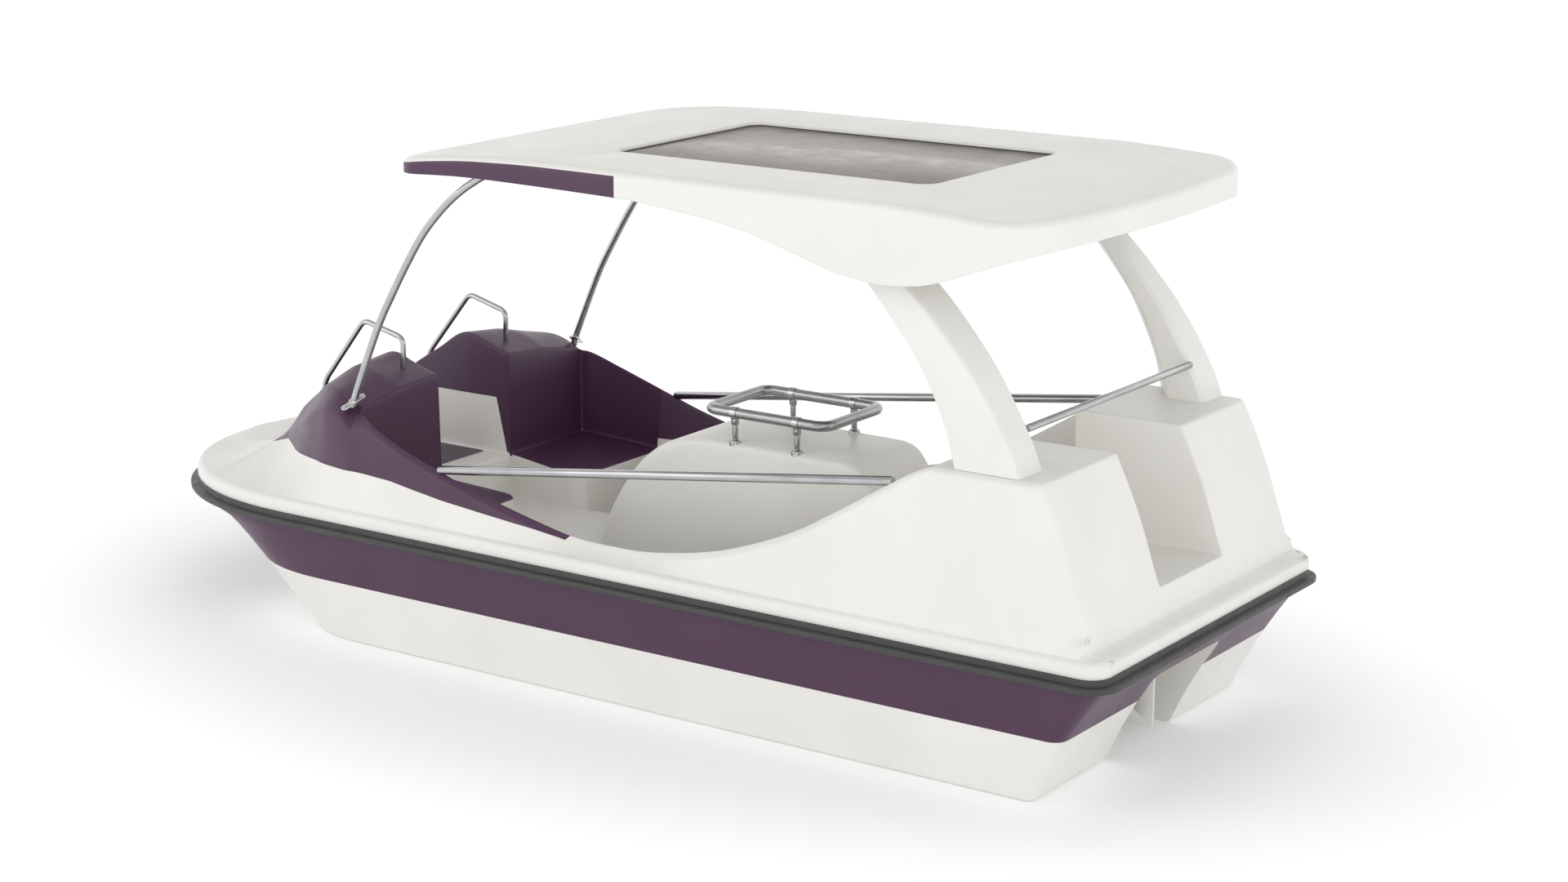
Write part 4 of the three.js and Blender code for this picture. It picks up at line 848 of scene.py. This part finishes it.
def deck():
    runs = deck_rows()
    rows = list(runs[0])
    for run in runs[1:]:
        rows += wall_rows(rows[-1], run[0]) + run
    width = len(rows[0][1]) * 2 - 1
    points, faces = [], []
    for x, half in rows:
        half = [(round_corner(x, y, z) if x < 0.1 else y, z) for y, z in half]
        points += [at(x, -y, z) for y, z in reversed(half[1:])] + [at(x, y, z) for y, z in half]
    middle = width // 2
    for r in range(len(rows) - 1):
        slotted = rows[r][0] >= HOUSING_ENDS[0] - 1e-6 and rows[r + 1][0] <= HOUSING_ENDS[1] + 1e-6
        for c in range(width - 1):
            if slotted and c in (middle - 1, middle):
                continue
            a = r * width + c
            faces.append((a, a + 1, a + width + 1, a + width))
    skin = new_object("deck_skin", points, faces)
    build = bmesh.new()
    build.from_mesh(skin.data)
    if sum(f.normal.z * f.calc_area() for f in build.faces) < 0:
        bmesh.ops.reverse_faces(build, faces=build.faces)
    for edge in build.edges:
        edge.smooth = True
    build.to_mesh(skin.data)
    build.free()
    rounded = skin.modifiers.new("rounded", "SUBSURF")
    rounded.levels = rounded.render_levels = 2
    thick = skin.modifiers.new("thick", "SOLIDIFY")
    thick.thickness = 0.005
    thick.offset = -1
    apply_modifiers(skin)
    piece = joined("deck", skin, hoop("bead", BEAD_SECTION))
    place(piece, "two_tone_gelcoat", "boat", *DECK_NODES, material=M_DECK)


def rail_and_pad():
    place(hoop("rub_rail_strip", RAIL_SECTION), "rub_rail_rubber", "boat", "rub_rail")
    low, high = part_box("bow_floor_pad")
    place(block("floor_pad", low, high, 0.0018), "floor_pad", "boat", "bow_floor_pad")


# ---- paddle housing ----
HOUSING = {"half": 0.205, "edge": 0.026, "middle": 1.43}


def housing_slice(y, shrink, inset=0.0, base=SOLE + 0.0003):
    """The ridge line at a breadth, drawn in by the edge's rounding and by the wall."""
    top = bent([at(x, 0, z) for x, z in HUMP], 0.05, 4)
    ring = []
    middle = HOUSING["middle"] + SHIFT
    for p in top:
        pull = min(abs(middle - p.x), shrink + inset)
        height = base if p.z <= SOLE + 0.001 else p.z - shrink - inset
        ring.append(Vector((p.x + math.copysign(pull, middle - p.x), y, max(height, base))))
    return ring


def housing():
    half, edge = HOUSING["half"], HOUSING["edge"]
    steps = [math.pi / 2 * i / 6 for i in range(7)]
    rounding = [(half - edge + edge * math.sin(a), edge - edge * math.cos(a)) for a in steps]
    profile = [(-y, s) for y, s in reversed(rounding)] + rounding
    shell = ring_skin("housing", [housing_slice(y, s) for y, s in profile], smooth_angle=45)
    inner = [housing_slice(y, s, WALL, SOLE - 0.06) for y, s in
             ((-half + WALL, edge), (-half + edge + WALL, 0), (half - edge - WALL, 0), (half - WALL, edge))]
    carve(shell, ring_skin("housing_hollow", inner))
    for side in (-1, 1):
        spot = at(AXLE.x, side * 0.2, AXLE.z)
        carve(shell, turned("bush_hole", [(0.024, -0.03), (0.024, 0.03)], spot, ACROSS))
    tidy_mesh(shell, 40)
    place(shell, "white_gelcoat", "boat", "paddle_housing")


# ---- roof ----
# How the roof's edge rounds over and how the opening's lip turns down: inset or growth, and drop.
ROOF_CORNER = ((0.0015, 0.0175), (0.006, 0.0105), (0.0125, 0.005), (0.021, 0.0015), (0.032, 0.0003),
               (0.045, 0))
OPENING_LIP = ((0.008, 0), (0.003, 0.0012), (0.0008, 0.004), (0, 0.007), (0, 0.026), (0.014, 0.026),
               (0.014, 0.012))
FASCIA_FOOT = ((0.004, 0), (0.001, 0.03), (0, 0.08), (0, 0.3), (0, 0.55), (0, 0.8), (0, 1))
FASCIA_DROP = 0.026  # of the fascia's upper edge below the roof's top
# Sections of the skylight and of its gasket: growth from the opening, and height over the panel's underside.
PANEL_SECTION = ((-0.007, 0), (-0.005, 0.001), (-0.005, 0.005), (-0.007, 0.006))
SEAL_SECTION = ((-0.0003, -0.002), (-0.0003, 0.0075), (-0.0012, 0.009), (-0.0045, 0.0065), (-0.0045, -0.002))
PANEL_DROP = 0.02
ROOF_MIDDLE = 1.2


def rounded_plan(aft, bow, half_aft, half_bow, radius_aft, radius_bow, bulge=0.0):
    """Closed outline with round corners, whose ends bow out by the bulge."""
    def arc(cx, cy, radius, start):
        angles = [start + i / 12 * math.pi / 2 for i in range(13)]
        return [(cx + radius * math.cos(a), cy + radius * math.sin(a)) for a in angles]

    def run(a, b, steps):
        return [mix(a, b, i / steps) for i in range(1, steps)]

    xb, xa = bow - radius_bow, aft + radius_aft
    yb, ya = half_bow - radius_bow, half_aft - radius_aft
    fore_end, aft_end = (xb, half_bow), (xa, half_aft)
    split = mix(fore_end, aft_end, (xb - ROOF_SPLIT) / (xb - xa))
    port = arc(xb, yb, radius_bow, 0) + run(fore_end, split, 16) + [split]
    port += run(split, aft_end, 26) + arc(xa, ya, radius_aft, math.pi / 2)
    starboard = [(x, -y) for x, y in reversed(port)]
    bowed = []
    for x, y in port + run((aft, ya), (aft, -ya), 20) + starboard + run((bow, -yb), (bow, yb), 20):
        swing = -bulge / 4 if x > (aft + bow) / 2 else bulge
        near = max(0, 1 - min(x - aft, bow - x) / ROOF["bowed_over"])
        bowed.append((x + swing * near * (y / half_aft) ** 2, y))
    return bowed


def roof_ring(inset, height):
    r = ROOF
    plan = rounded_plan(r["aft"] + inset, r["bow"] - inset, r["half_aft"] - inset, r["half_bow"] - inset,
                        r["radius_aft"] - inset, r["radius_bow"] - inset, r["bulge"])
    return [at(x, y, height(x)) for x, y in plan]


def skylight_ring(grow, height):
    s = SKYLIGHT
    half, radius = s["half"] + grow, s["radius"] + grow
    return [at(x, y, height(x)) for x, y in
            rounded_plan(s["aft"] - grow, s["bow"] + grow, half, half, radius, radius)]


def roof():
    def top(drop):
        return lambda x: smooth(ROOF_TOP, x) - drop

    def fascia(share):
        def height(x):
            low = smooth(ROOF_EDGE, x)
            return low + (smooth(ROOF_TOP, x) - FASCIA_DROP - low) * share
        return height

    rings = [roof_ring(inset, fascia(share)) for inset, share in FASCIA_FOOT]
    rings += [roof_ring(inset, top(drop)) for inset, drop in ROOF_CORNER]
    rings.append([a.lerp(b, 0.5) for a, b in zip(rings[-1], skylight_ring(0.02, top(0)))])
    rings += [skylight_ring(grow, top(drop)) for grow, drop in OPENING_LIP]
    rings += [roof_ring(0.04, top(0.012)), roof_ring(0.017, top(0.018)),
              roof_ring(0.013, lambda x: smooth(ROOF_EDGE, x) + 0.001)]
    shell = ring_skin("roof", rings, closed=True, smooth_angle=36)
    shell.data.materials.append(M_WHITE)
    shell.data.materials.append(M_PURPLE)
    for face in shell.data.polygons:
        corners = [shell.data.vertices[i].co for i in face.vertices]
        face.material_index = int(on_forward_fascia(face, corners))
    place(shell, "two_tone_gelcoat", "boat", "roof_shell")


def on_forward_fascia(face, corners):
    """Whether a face looks out of the rim, forward of the split and below the rounded edge."""
    outward = (face.center.x - ROOF_MIDDLE - SHIFT) * face.normal.x + face.center.y * face.normal.y > 0
    if not outward or face.normal.z >= 0.5:
        return False
    for p in corners:
        x = p.x - SHIFT
        on_rim = abs(p.y) > 0.6 or x > 2.5
        if x <= ROOF_SPLIT - 0.0005 or not on_rim or p.z >= smooth(ROOF_TOP, x) - ROOF_CORNER[0][1] + 0.0003:
            return False
    return True


def skylight():
    low = SKYLIGHT["z"] - PANEL_DROP
    panel, seal = [[skylight_ring(grow, lambda x, z=z: low + z) for grow, z in section]
                   for section in (PANEL_SECTION, SEAL_SECTION)]
    place(ring_skin("skylight", panel), "smoked_glazing", "boat", "skylight_panel")
    place(ring_skin("skylight_seal", seal, closed=True), "rub_rail_rubber", "boat", "skylight_gasket")


# ---- arches, stanchions and rails ----
ARCH_ROUND = (0.018, 0.014, 0.012, 0.003, 0.003)  # radii of an arch's corners, from the outer aft one on
ARCH_CHAMFER = 0.014
BAR = {"stanchion": 0.0135, "grab": 0.0105, "side": 0.016, "cross": 0.0125, "post": 0.01}
SIDE_RAIL = ((2.455, 0.703, 0.724), (0.548, 0.688, 0.972))
CROSS_RAIL = (0.133, 1.176)
PLATE = {"up": (0.12, 0.42, 0.9), "level": (0.35, 0.94), "foot": (2.912, 0.899), "reach": 0.033,
         "wide": 0.019, "thick": 0.006, "screw": 0.034}
SCREW_HEAD = [(0.0062, 0), (0.0062, 0.0014), (0.0052, 0.0027), (0.0034, 0.0034), (0.003, 0.0034),
              (0.0022, 0.0019), (0.0006, 0.0019)]
COLLAR_RISE = [(0.0185, -0.001), (0.0178, 0.001), (0.0158, 0.0032), (0.0146, 0.007)]
CLAMP = {"outer": 0.0222, "inner": 0.0196, "half": 0.013}
SOCKET = [(0.0102, -0.042), (0.0128, -0.042), (0.014, -0.0405), (0.014, -0.02)]  # height from the ring
TABLE_FOOT = [(0.0215, 0.838), (0.0215, 0.8555), (0.0205, 0.8585), (0.0165, 0.8615), (0.0145, 0.8635),
              (0.0135, 0.8655), (0.0104, 0.866)]


def along(table, k):
    """Smooth value at a fractional row of a table of numbers."""
    return smooth(list(enumerate(table)), k)


def rounded_corners(corners, radii, steps=5):
    """A closed outline of (u, v) points with each corner rounded."""
    points = []
    for k, (here, radius) in enumerate(zip(corners, radii)):
        before, after = corners[k - 1], corners[(k + 1) % len(corners)]
        start = mix(here, before, min(radius / math.dist(here, before), 0.45))
        end = mix(here, after, min(radius / math.dist(here, after), 0.45))
        for i in range(steps + 1):
            t = i / steps
            points.append(mix(mix(start, here, t), mix(here, end, t), t))
    return points


def arch(name, side):
    columns = list(zip(*[(*aft, *fore, rake, slant) for aft, fore, rake, slant in ARCH]))
    rings = []
    for i in range(4 * (len(ARCH) - 1) + 1):
        aft_x, aft_z, fore_x, fore_z, rake, slant = [along(column, i / 4) for column in columns]
        aft, fore = (aft_x, aft_z), (fore_x, fore_z)
        length = math.dist(aft, fore)
        corners = [(0, ARCH_OUTER), (length, ARCH_OUTER), (length - slant, ARCH_INNER),
                   (ARCH_CHAMFER - rake, ARCH_INNER), (-rake, ARCH_INNER + ARCH_CHAMFER)]
        ring = []
        for u, y in rounded_corners(corners, ARCH_ROUND):
            x, z = mix(aft, fore, u / length)
            ring.append(at(x, side * y, z))
        rings.append(ring)
    place(ring_skin("arch_" + name, rings, smooth_angle=45), "white_gelcoat", "boat", "roof_arch_" + name)


def spline(points, per=5):
    """Catmull-Rom path through points."""
    ends = [points[0] * 2 - points[1]] + points + [points[-1] * 2 - points[-2]]
    path = []
    for a, b, c, d in zip(ends, ends[1:], ends[2:], ends[3:]):
        for i in range(per):
            t = i / per
            path.append(0.5 * (2 * b + (c - a) * t + (2 * a - 5 * b + 4 * c - d) * t * t
                               + (3 * b - a - 3 * c + d) * t**3))
    return path + [points[-1]]


def foot_plate(name, side):
    """Oval plate flat on the sloping console, with two screws and the stanchion's collar."""
    lean_x, lean_y, lean_z = PLATE["up"]
    up = Vector((lean_x, side * lean_y, lean_z)).normalized()
    level = Vector((PLATE["level"][0], side * PLATE["level"][1], 0))
    long_way = (level - up * level.dot(up)).normalized()
    across = up.cross(long_way)
    origin = at(PLATE["foot"][0], side * (STANCHION_Y + 0.005), PLATE["foot"][1])
    reach, thick = PLATE["reach"], PLATE["thick"]
    rings = []
    for shrink, height in ((0.0, 0.0), (0.0, thick - 0.002), (0.0006, thick - 0.0008), (0.0022, thick)):
        ring = []
        radius = PLATE["wide"] - shrink
        for centre, start in ((reach, -math.pi / 2), (-reach, math.pi / 2)):
            for i in range(15):
                angle = start + math.pi * i / 14
                u, v = centre + radius * math.cos(angle), radius * math.sin(angle)
                ring.append(origin + long_way * u + across * v + up * height)
        rings.append(ring)
    pieces = [ring_skin("plate", rings, smooth_angle=40)]
    for end in (-1, 1):
        spot = origin + long_way * (end * PLATE["screw"]) + up * (thick - 0.0004)
        pieces.append(turned("head", SCREW_HEAD, spot, up, 24))
    pieces.append(turned("collar", COLLAR_RISE, origin + up * thick, up, 32))
    place(joined("stanchion_plate_" + name, *pieces), "polished_stainless", "boat", "stanchion_foot_" + name)


def rails(name, side):
    post = spline([at(x, side * STANCHION_Y, z) for x, z in STANCHION])
    grab = bent([at(x, side * y, z) for x, y, z in GRAB], 0.03, 8)
    rail = [at(x, side * y, z) for x, y, z in SIDE_RAIL]
    stanchion = tube("stanchion_tube_" + name, post, BAR["stanchion"])
    place(stanchion, "polished_stainless", "boat", "stanchion_" + name)
    foot_plate(name, side)
    for piece, path, radius, node in (("grab_bar_", grab, BAR["grab"], "grab_handle_"),
                                      ("side_tube_", rail, BAR["side"], "side_rail_")):
        place(tube(piece + name, path, radius), "polished_stainless", "boat", node + name)


def cross_rail():
    (x, z), reach = CROSS_RAIL, ARCH_INNER + 0.004
    bar = tube("cross_tube", [at(x, -reach, z), at(x, reach, z)], BAR["cross"])
    place(bar, "polished_stainless", "boat", "rear_cross_rail")


def table():
    t = TABLE
    bend, middle = t["bend"], t["half"] - t["bend"]
    centre = []
    for cx, cy, quarter in ((t["bow"] - bend, middle, 0), (t["aft"] + bend, middle, 1),
                            (t["aft"] + bend, -middle, 2), (t["bow"] - bend, -middle, 3)):
        for i in range(9):
            angle = (quarter + i / 8) * math.pi / 2
            centre.append(at(cx + bend * math.cos(angle), cy + bend * math.sin(angle), t["z"]))
    ring = tube("table_tube", centre, t["radius"], 28, closed=True)
    place(ring, "polished_stainless", "boat", "table_rail", material=M_BRUSHED)
    for end, x in zip(("stern_", "bow_"), POSTS):
        for name, side in SIDES:
            table_leg(end + name, at(x, side * t["half"], 0))


def table_leg(name, foot):
    z = TABLE["z"]
    half = CLAMP["half"]
    sleeve = bored("sleeve", CLAMP["outer"], CLAMP["inner"], -half, half, foot + UP * z,
                   Vector((1, 0, 0)), 0.0016)
    socket = turned("socket", [(radius, z + rise) for radius, rise in SOCKET], foot, sides=32)
    place(joined("clamp_" + name, sleeve, socket), "polished_stainless", "boat", "table_clamp_" + name)
    post = tube("post_" + name, [foot + UP * 0.858, foot + UP * (z - 0.028)], BAR["post"])
    place(post, "polished_stainless", "boat", "table_post_" + name, material=M_BRUSHED)
    place(turned("foot_" + name, TABLE_FOOT, foot), "polished_stainless", "boat", "table_foot_" + name)


# ---- drive ----
HUB = at(AXLE.x, 0, AXLE.z)
THROWS = ((0.292, 0.398, 1), (0.428, 0.534, -1))  # inner and outer face of a pedal's place, and its way
PIN, SHAFT, SHAFT_BORE = 0.009, 0.014, 0.0145
WEBS = (0.284, 0.413, 0.542)
WEB = {"half_thick": 0.008, "half_high": 0.017, "past_pin": 0.02}
PEDAL = {"half_long": 0.039, "half_high": 0.0115, "gap": 0.006, "bore": 0.0094}
WHEEL = {"half": 0.145, "hub": 0.042, "radius": 0.365, "blades": 8}
FLANGE = {"radius": 0.038, "bolt_circle": 0.0305, "face": 0.2165}
BOLT = [(0.0045, 0), (0.0045, 0.0014), (0.0035, 0.0024), (0.001, 0.0026)]
BEARING = {"half": 0.044, "inner": 0.607, "outer": 0.644, "bore": 0.01435}


def ordered(side, a, b):
    """Two breadths on one side of the boat, lower first."""
    return sorted((side * a, side * b))


def rod(name, x, ends, radius):
    return tube(name, [at(x, y, AXLE.z) for y in ends], radius, 28, dome=0.0012)


def crank():
    parts = [rod("axle", AXLE.x, (-0.286, 0.286), SHAFT)]
    for side in (-1, 1):
        first, second = [way * side * THROW for _, _, way in THROWS]
        for (inner, outer, _), offset in zip(THROWS, (first, second)):
            parts.append(rod("pin", AXLE.x + offset, ordered(side, inner - 0.01, outer + 0.01), PIN))
        for y, ends in zip(WEBS, ((0, first), (first, second), (second, 0))):
            x0, x1 = sorted(ends)
            low = HUB + Vector((x0 - WEB["past_pin"], side * y - WEB["half_thick"], -WEB["half_high"]))
            high = HUB + Vector((x1 + WEB["past_pin"], side * y + WEB["half_thick"], WEB["half_high"]))
            parts.append(block("web", low, high, 0.005))
        parts.append(rod("journal", AXLE.x, ordered(side, 0.54, 0.652), SHAFT))
    place(joined("crank", *parts), "brushed_stainless", "crank", "crankshaft")


def pedal(name, side, throw):
    """A block on its pin, with grip ribs on both faces and a reflector at each end."""
    inner, outer, way = throw
    spot = HUB + Vector((way * side * THROW, 0, 0))
    y0, y1 = ordered(side, inner + PEDAL["gap"], outer - PEDAL["gap"])

    def brick(part, x, y, z, round_by, segments=3):
        (x0, x1), (z0, z1) = sorted(x), sorted(z)
        return block(part, spot + Vector((x0, y0 + y, z0)), spot + Vector((x1, y1 - y, z1)), round_by,
                     segments)

    long, high = PEDAL["half_long"], PEDAL["half_high"]
    body = brick("body", (-long, long), 0, (-high, high), 0.004)
    carve(body, turned("bore", [(PEDAL["bore"], y0 - 0.01), (PEDAL["bore"], y1 + 0.01)], spot, ACROSS))
    parts = [body]
    for face in (-1, 1):
        for k in (-3, -2, -1, 1, 2, 3):
            middle = 0.011 * k
            parts.append(brick("rib", (middle - 0.002, middle + 0.002), 0.006, (face * 0.0105, face * 0.0148),
                               0.0012, 2))
        parts.append(brick("lens", (face * 0.0375, face * 0.0415), 0.02, (-0.007, 0.007), 0.0012, 2))
    place(joined(name + "_block", *parts), "pedal_plastic", name, name)


def wheel():
    half, hub, radius = WHEEL["half"], WHEEL["hub"], WHEEL["radius"]
    parts = [bored("hub", hub, 0.0143, -half, half, HUB, ACROSS, 0.003)]
    for i in range(WHEEL["blades"]):
        turn = Matrix.Rotation(i / WHEEL["blades"] * 2 * math.pi, 4, "Y")
        blade = block("blade", (hub - 0.01, -half + 0.005, -0.003), (radius, half - 0.005, 0.003), 0.0022, 2)
        web = block("web", (hub - 0.01, -0.004, -0.012), (radius * 0.72, 0.004, 0.012), 0.003, 2)
        for part in (blade, web):
            part.data.transform(Matrix.Translation(HUB) @ turn)
            parts.append(part)
    for y in (-0.06, 0.06):
        parts.append(bored("disc", radius * 0.55, 0.03, y - 0.003, y + 0.003, HUB, ACROSS, 0.001, 64))
    place(joined("wheel", *parts), "wheel_polymer", "crank", "paddle_wheel")


def bearings(name, side):
    out = ACROSS * side
    parts = [bored("flange", FLANGE["radius"], SHAFT_BORE, 0.2053, 0.217, HUB, out, 0.002),
             bored("sleeve", 0.0235, SHAFT_BORE, 0.192, 0.2185, HUB, out)]
    for i in range(4):
        angle = math.pi / 4 + i * math.pi / 2
        around = Vector((math.cos(angle), 0, math.sin(angle))) * FLANGE["bolt_circle"]
        parts.append(turned("bolt", BOLT, HUB + around + out * FLANGE["face"], out, 6))
    place(joined("bush_" + name, *parts), "black_nylon", "boat", "crank_bush_" + name)
    half = BEARING["half"]
    y0, y1 = ordered(side, BEARING["inner"], BEARING["outer"])
    body = block("bearing_" + name, HUB + Vector((-half, y0, -half)), HUB + Vector((half, y1, half)), 0.006)
    bore = [(BEARING["bore"], y) for y in ordered(side, 0.59, 0.66)]
    carve(body, turned("bore", bore, HUB, ACROSS))
    place(body, "black_nylon", "boat", "outer_bearing_" + name)
    for piece, throw in zip(("pedal_inner_", "pedal_outer_"), THROWS):
        pedal(piece + name, side, throw)


# ---- steering ----
BLADE = {"aft": -0.056, "bow": 0.17, "low": 0.055, "high": 0.306, "thick": 0.01, "toe": 0.06}
LEVER = {"half_wide": 0.014, "half_thick": 0.004}
LEVER_HUB = [(0.018, -0.012), (0.0205, -0.0095), (0.0205, 0.0095), (0.018, 0.012)]
KNUCKLE = [(0.0125, 0.722), (0.0145, 0.7255), (0.0145, 0.7445), (0.0125, 0.7475)]
HANDLE = ((0, 0.735), (0.185, 0.765))
GRIP = ((0.09, 0.7496), (0.1885, 0.7656))
GRIP_ROW = [(0.0148, 0), (0.0138, 0.0014), (0.0138, 0.0028), (0.0148, 0.0042)]
GRIP_ROWS, GRIP_PITCH = 9, 0.0092


def upright(name, x, y, low, high, radius):
    return tube(name, [at(x, y, low), at(x, y, high)], radius, 32, dome=0.001)


def flanged_bush(name, x, flange, sleeve, bore):
    """Bush for an upright shaft: (radius, low, high) of its flange and of its sleeve."""
    spot = at(x, 0, 0)
    return joined(name, bored("flange", flange[0], bore, flange[1], flange[2], spot, chamfer=0.002),
                  bored("sleeve", sleeve[0], bore, sleeve[1], sleeve[2], spot))


def rudder():
    b = BLADE
    aft, bow, low, high, toe = b["aft"], b["bow"], b["low"], b["high"], b["bow"] - b["toe"]
    edge = [(aft, high), (aft, low + 0.012), (aft + 0.004, low + 0.004), (aft + 0.012, low), (toe, low)]
    knee, end = (bow, low + 0.02), (bow, low + 0.09)
    for i in range(1, 9):
        t = i / 8
        edge.append(mix(mix((toe, low), knee, t), mix(knee, end, t), t))
    edge.append((bow, high))
    rings = [[at(x, y, z) for x, z in edge] for y in (-b["thick"] / 2, b["thick"] / 2)]
    blade = round_edges(ring_skin("rudder_plate", rings), 0.0035, 3, 50)
    carve(blade, turned("bore", [(0.0123, 0.15), (0.0123, 0.35)], at(RUDDER_X, 0, 0)))
    place(blade, "white_gelcoat", "rudder", "rudder_blade")
    place(upright("stock", RUDDER_X, 0, 0.202, 0.474, 0.012), "brushed_stainless", "rudder", "rudder_stock")
    bush = flanged_bush("rudder_bearing", RUDDER_X, (0.042, 0.3383, 0.35), (0.0235, 0.324, 0.37), 0.0125)
    place(bush, "black_nylon", "boat", "rudder_bush")
    place(lever("tiller", RUDDER_X, 0.0123), "brushed_stainless", "rudder", "tiller_arm")


def lever(name, x, bore):
    """Arm to starboard with a hub round the shaft and a pin at its end; no bore means a solid hub."""
    wide, thick = LEVER["half_wide"], LEVER["half_thick"]
    z = LINK_Z
    plate = block("plate", at(x - wide, -ARM - wide, z - thick), at(x + wide, wide, z + thick), 0.0018, 2)
    hub = turned("hub", [(radius, z + rise) for radius, rise in LEVER_HUB], at(x, 0, 0))
    if bore:
        for part in (plate, hub):
            carve(part, turned("bore", [(bore, z - 0.03), (bore, z + 0.03)], at(x, 0, 0)))
    return joined(name, plate, hub, upright("pin", x, -ARM, z, z + 0.022, 0.005))


def steering():
    x, z = STEER_X, LINK_Z
    parts = [lever("arm", x, 0), upright("post", x, 0, z - 0.014, 0.742, 0.011),
             tube("handle", [at(x + dx, 0, height) for dx, height in HANDLE], 0.009, 28),
             turned("knuckle", KNUCKLE, at(x, 0, 0))]
    place(joined("column", *parts), "brushed_stainless", "steering", "steering_column")
    start, end = [at(x + dx, 0, height) for dx, height in GRIP]
    length = (end - start).length
    profile = [(0.0095, 0), (0.0125, 0), (0.0146, 0.002)]
    for k in range(GRIP_ROWS):
        profile += [(radius, 0.01 + k * GRIP_PITCH + rise) for radius, rise in GRIP_ROW]
    profile += [(0.0148, length - 0.005), (0.013, length - 0.0015), (0.0095, length - 0.0002)]
    grip = turned("grip", profile, start, (end - start).normalized(), 36)
    place(grip, "grip_rubber", "steering", "steering_grip")
    link(z + 0.01)
    bush = flanged_bush("steering_bearing", x, (0.034, 0.5003, 0.51), (0.0195, 0.486, 0.512), 0.0115)
    place(bush, "black_nylon", "boat", "steering_bush")


def link(z):
    ends = (RUDDER_X, STEER_X)
    eyes = [bored("eye", 0.013, 0.0056, z - 0.005, z + 0.005, at(x, -ARM, 0)) for x in ends]
    bar = tube("bar", [at(ends[0] + 0.011, -ARM, z), at(ends[1] - 0.011, -ARM, z)], 0.0045)
    place(joined("link", bar, *eyes), "brushed_stainless", "link", "link_rod")


# ---- stage ----
FLOOR_REACH = 30
GLOW_SPREAD, GLOW_NEAR, GLOW_FAR = (2.9, 1.7), 0.12, 0.17  # the floor glows to keep the backdrop white, and glows less round the boat: painted shade on the floor in an oval there
HORIZON, ZENITH = (0.12, 1.16), (0.75, 0.57)  # how high on the sky, and how bright
CAMERA = {"spot": (-6.3524, 8.5150, 3.4568), "heading": -55.227, "pitch": 14.218, "lens": 68.95}
LAMPS = (("overhead", (0.5, 0.5, 7), (0, 0, 0), 6, 10), ("stern_side", (-7.5, 5.0, 5), (0, 0, 0.6), 4, 80),
         ("bow_side", (5, 6, 4), (0.4, 0, 0.6), 5, 70))


def soft_light(name, spot, aim, size, power):
    data = bpy.data.lights.new(name, "AREA")
    data.shape = "SQUARE"
    data.size = size
    data.energy = power
    lamp = bpy.data.objects.new(name, data)
    lamp.location = spot
    lamp.rotation_euler = (Vector(aim) - Vector(spot)).to_track_quat("-Z", "Y").to_euler()
    bpy.context.scene.collection.objects.link(lamp)


def floor():
    r = FLOOR_REACH
    sheet = new_object("floor", [(-r, -r, 0), (r, -r, 0), (r, r, 0), (-r, r, 0)], [(0, 1, 2, 3)])
    sheet.location.z = -0.0005
    s = Shader("studio_floor")
    x, y = [s.math("POWER", s.math("DIVIDE", value, spread), 2) for value, spread in zip((s.x, s.y),
                                                                                         GLOW_SPREAD)]
    # away is 0 in an oval round the boat and 1 far off, so the glow is weaker near the hull: painted shade on
    # the floor there.
    away = s.math("MINIMUM", s.math("MAXIMUM", s.math("SUBTRACT", s.math("ADD", x, y), 0.6), 0), 1)
    s.surface(Base_Color=s.mix(s.mottle(0.6, 3), (0.985, 0.985, 0.99, 1), (0.975, 0.975, 0.98, 1)),
              Roughness=0.9, Specular_IOR_Level=0.1, Emission_Color=(1, 1, 1, 1),
              Emission_Strength=s.math("ADD", s.math("MULTIPLY", away, GLOW_FAR), GLOW_NEAR))
    sheet.data.materials.append(s.material)


def stage():
    floor()
    world = bpy.data.worlds.new("studio")
    world.use_nodes = True
    nodes, links = world.node_tree.nodes, world.node_tree.links
    sky = nodes["Background"]
    sky.inputs["Strength"].default_value = 1.1
    parts = nodes.new("ShaderNodeSeparateXYZ")
    links.new(nodes.new("ShaderNodeTexCoord").outputs["Generated"], parts.inputs["Vector"])
    ramp = nodes.new("ShaderNodeValToRGB")
    for mark, (height, bright) in zip(ramp.color_ramp.elements, (HORIZON, ZENITH)):
        mark.position, mark.color = height, (bright, bright, bright, 1)
    links.new(parts.outputs["Z"], ramp.inputs["Fac"])
    links.new(ramp.outputs["Color"], sky.inputs["Color"])
    bpy.context.scene.world = world
    for lamp in LAMPS:
        soft_light(*lamp)
    bpy.context.scene.view_settings.view_transform = "Standard"


def camera():
    heading, pitch = math.radians(CAMERA["heading"]), math.radians(CAMERA["pitch"])
    data = bpy.data.cameras.new("camera")
    data.lens = CAMERA["lens"]
    data.sensor_width = 36
    data.clip_end = 100
    view = bpy.data.objects.new("camera", data)
    view.location = CAMERA["spot"]
    view.rotation_euler = (math.pi / 2 - pitch, 0, heading - math.pi / 2)
    bpy.context.scene.collection.objects.link(view)
    bpy.context.scene.camera = view


hull()
deck()
rail_and_pad()
housing()
roof()
skylight()
for boat_side, sign in SIDES:
    arch(boat_side, sign)
    rails(boat_side, sign)
    bearings(boat_side, sign)
cross_rail()
table()
crank()
wheel()
rudder()
steering()
stage()
camera()
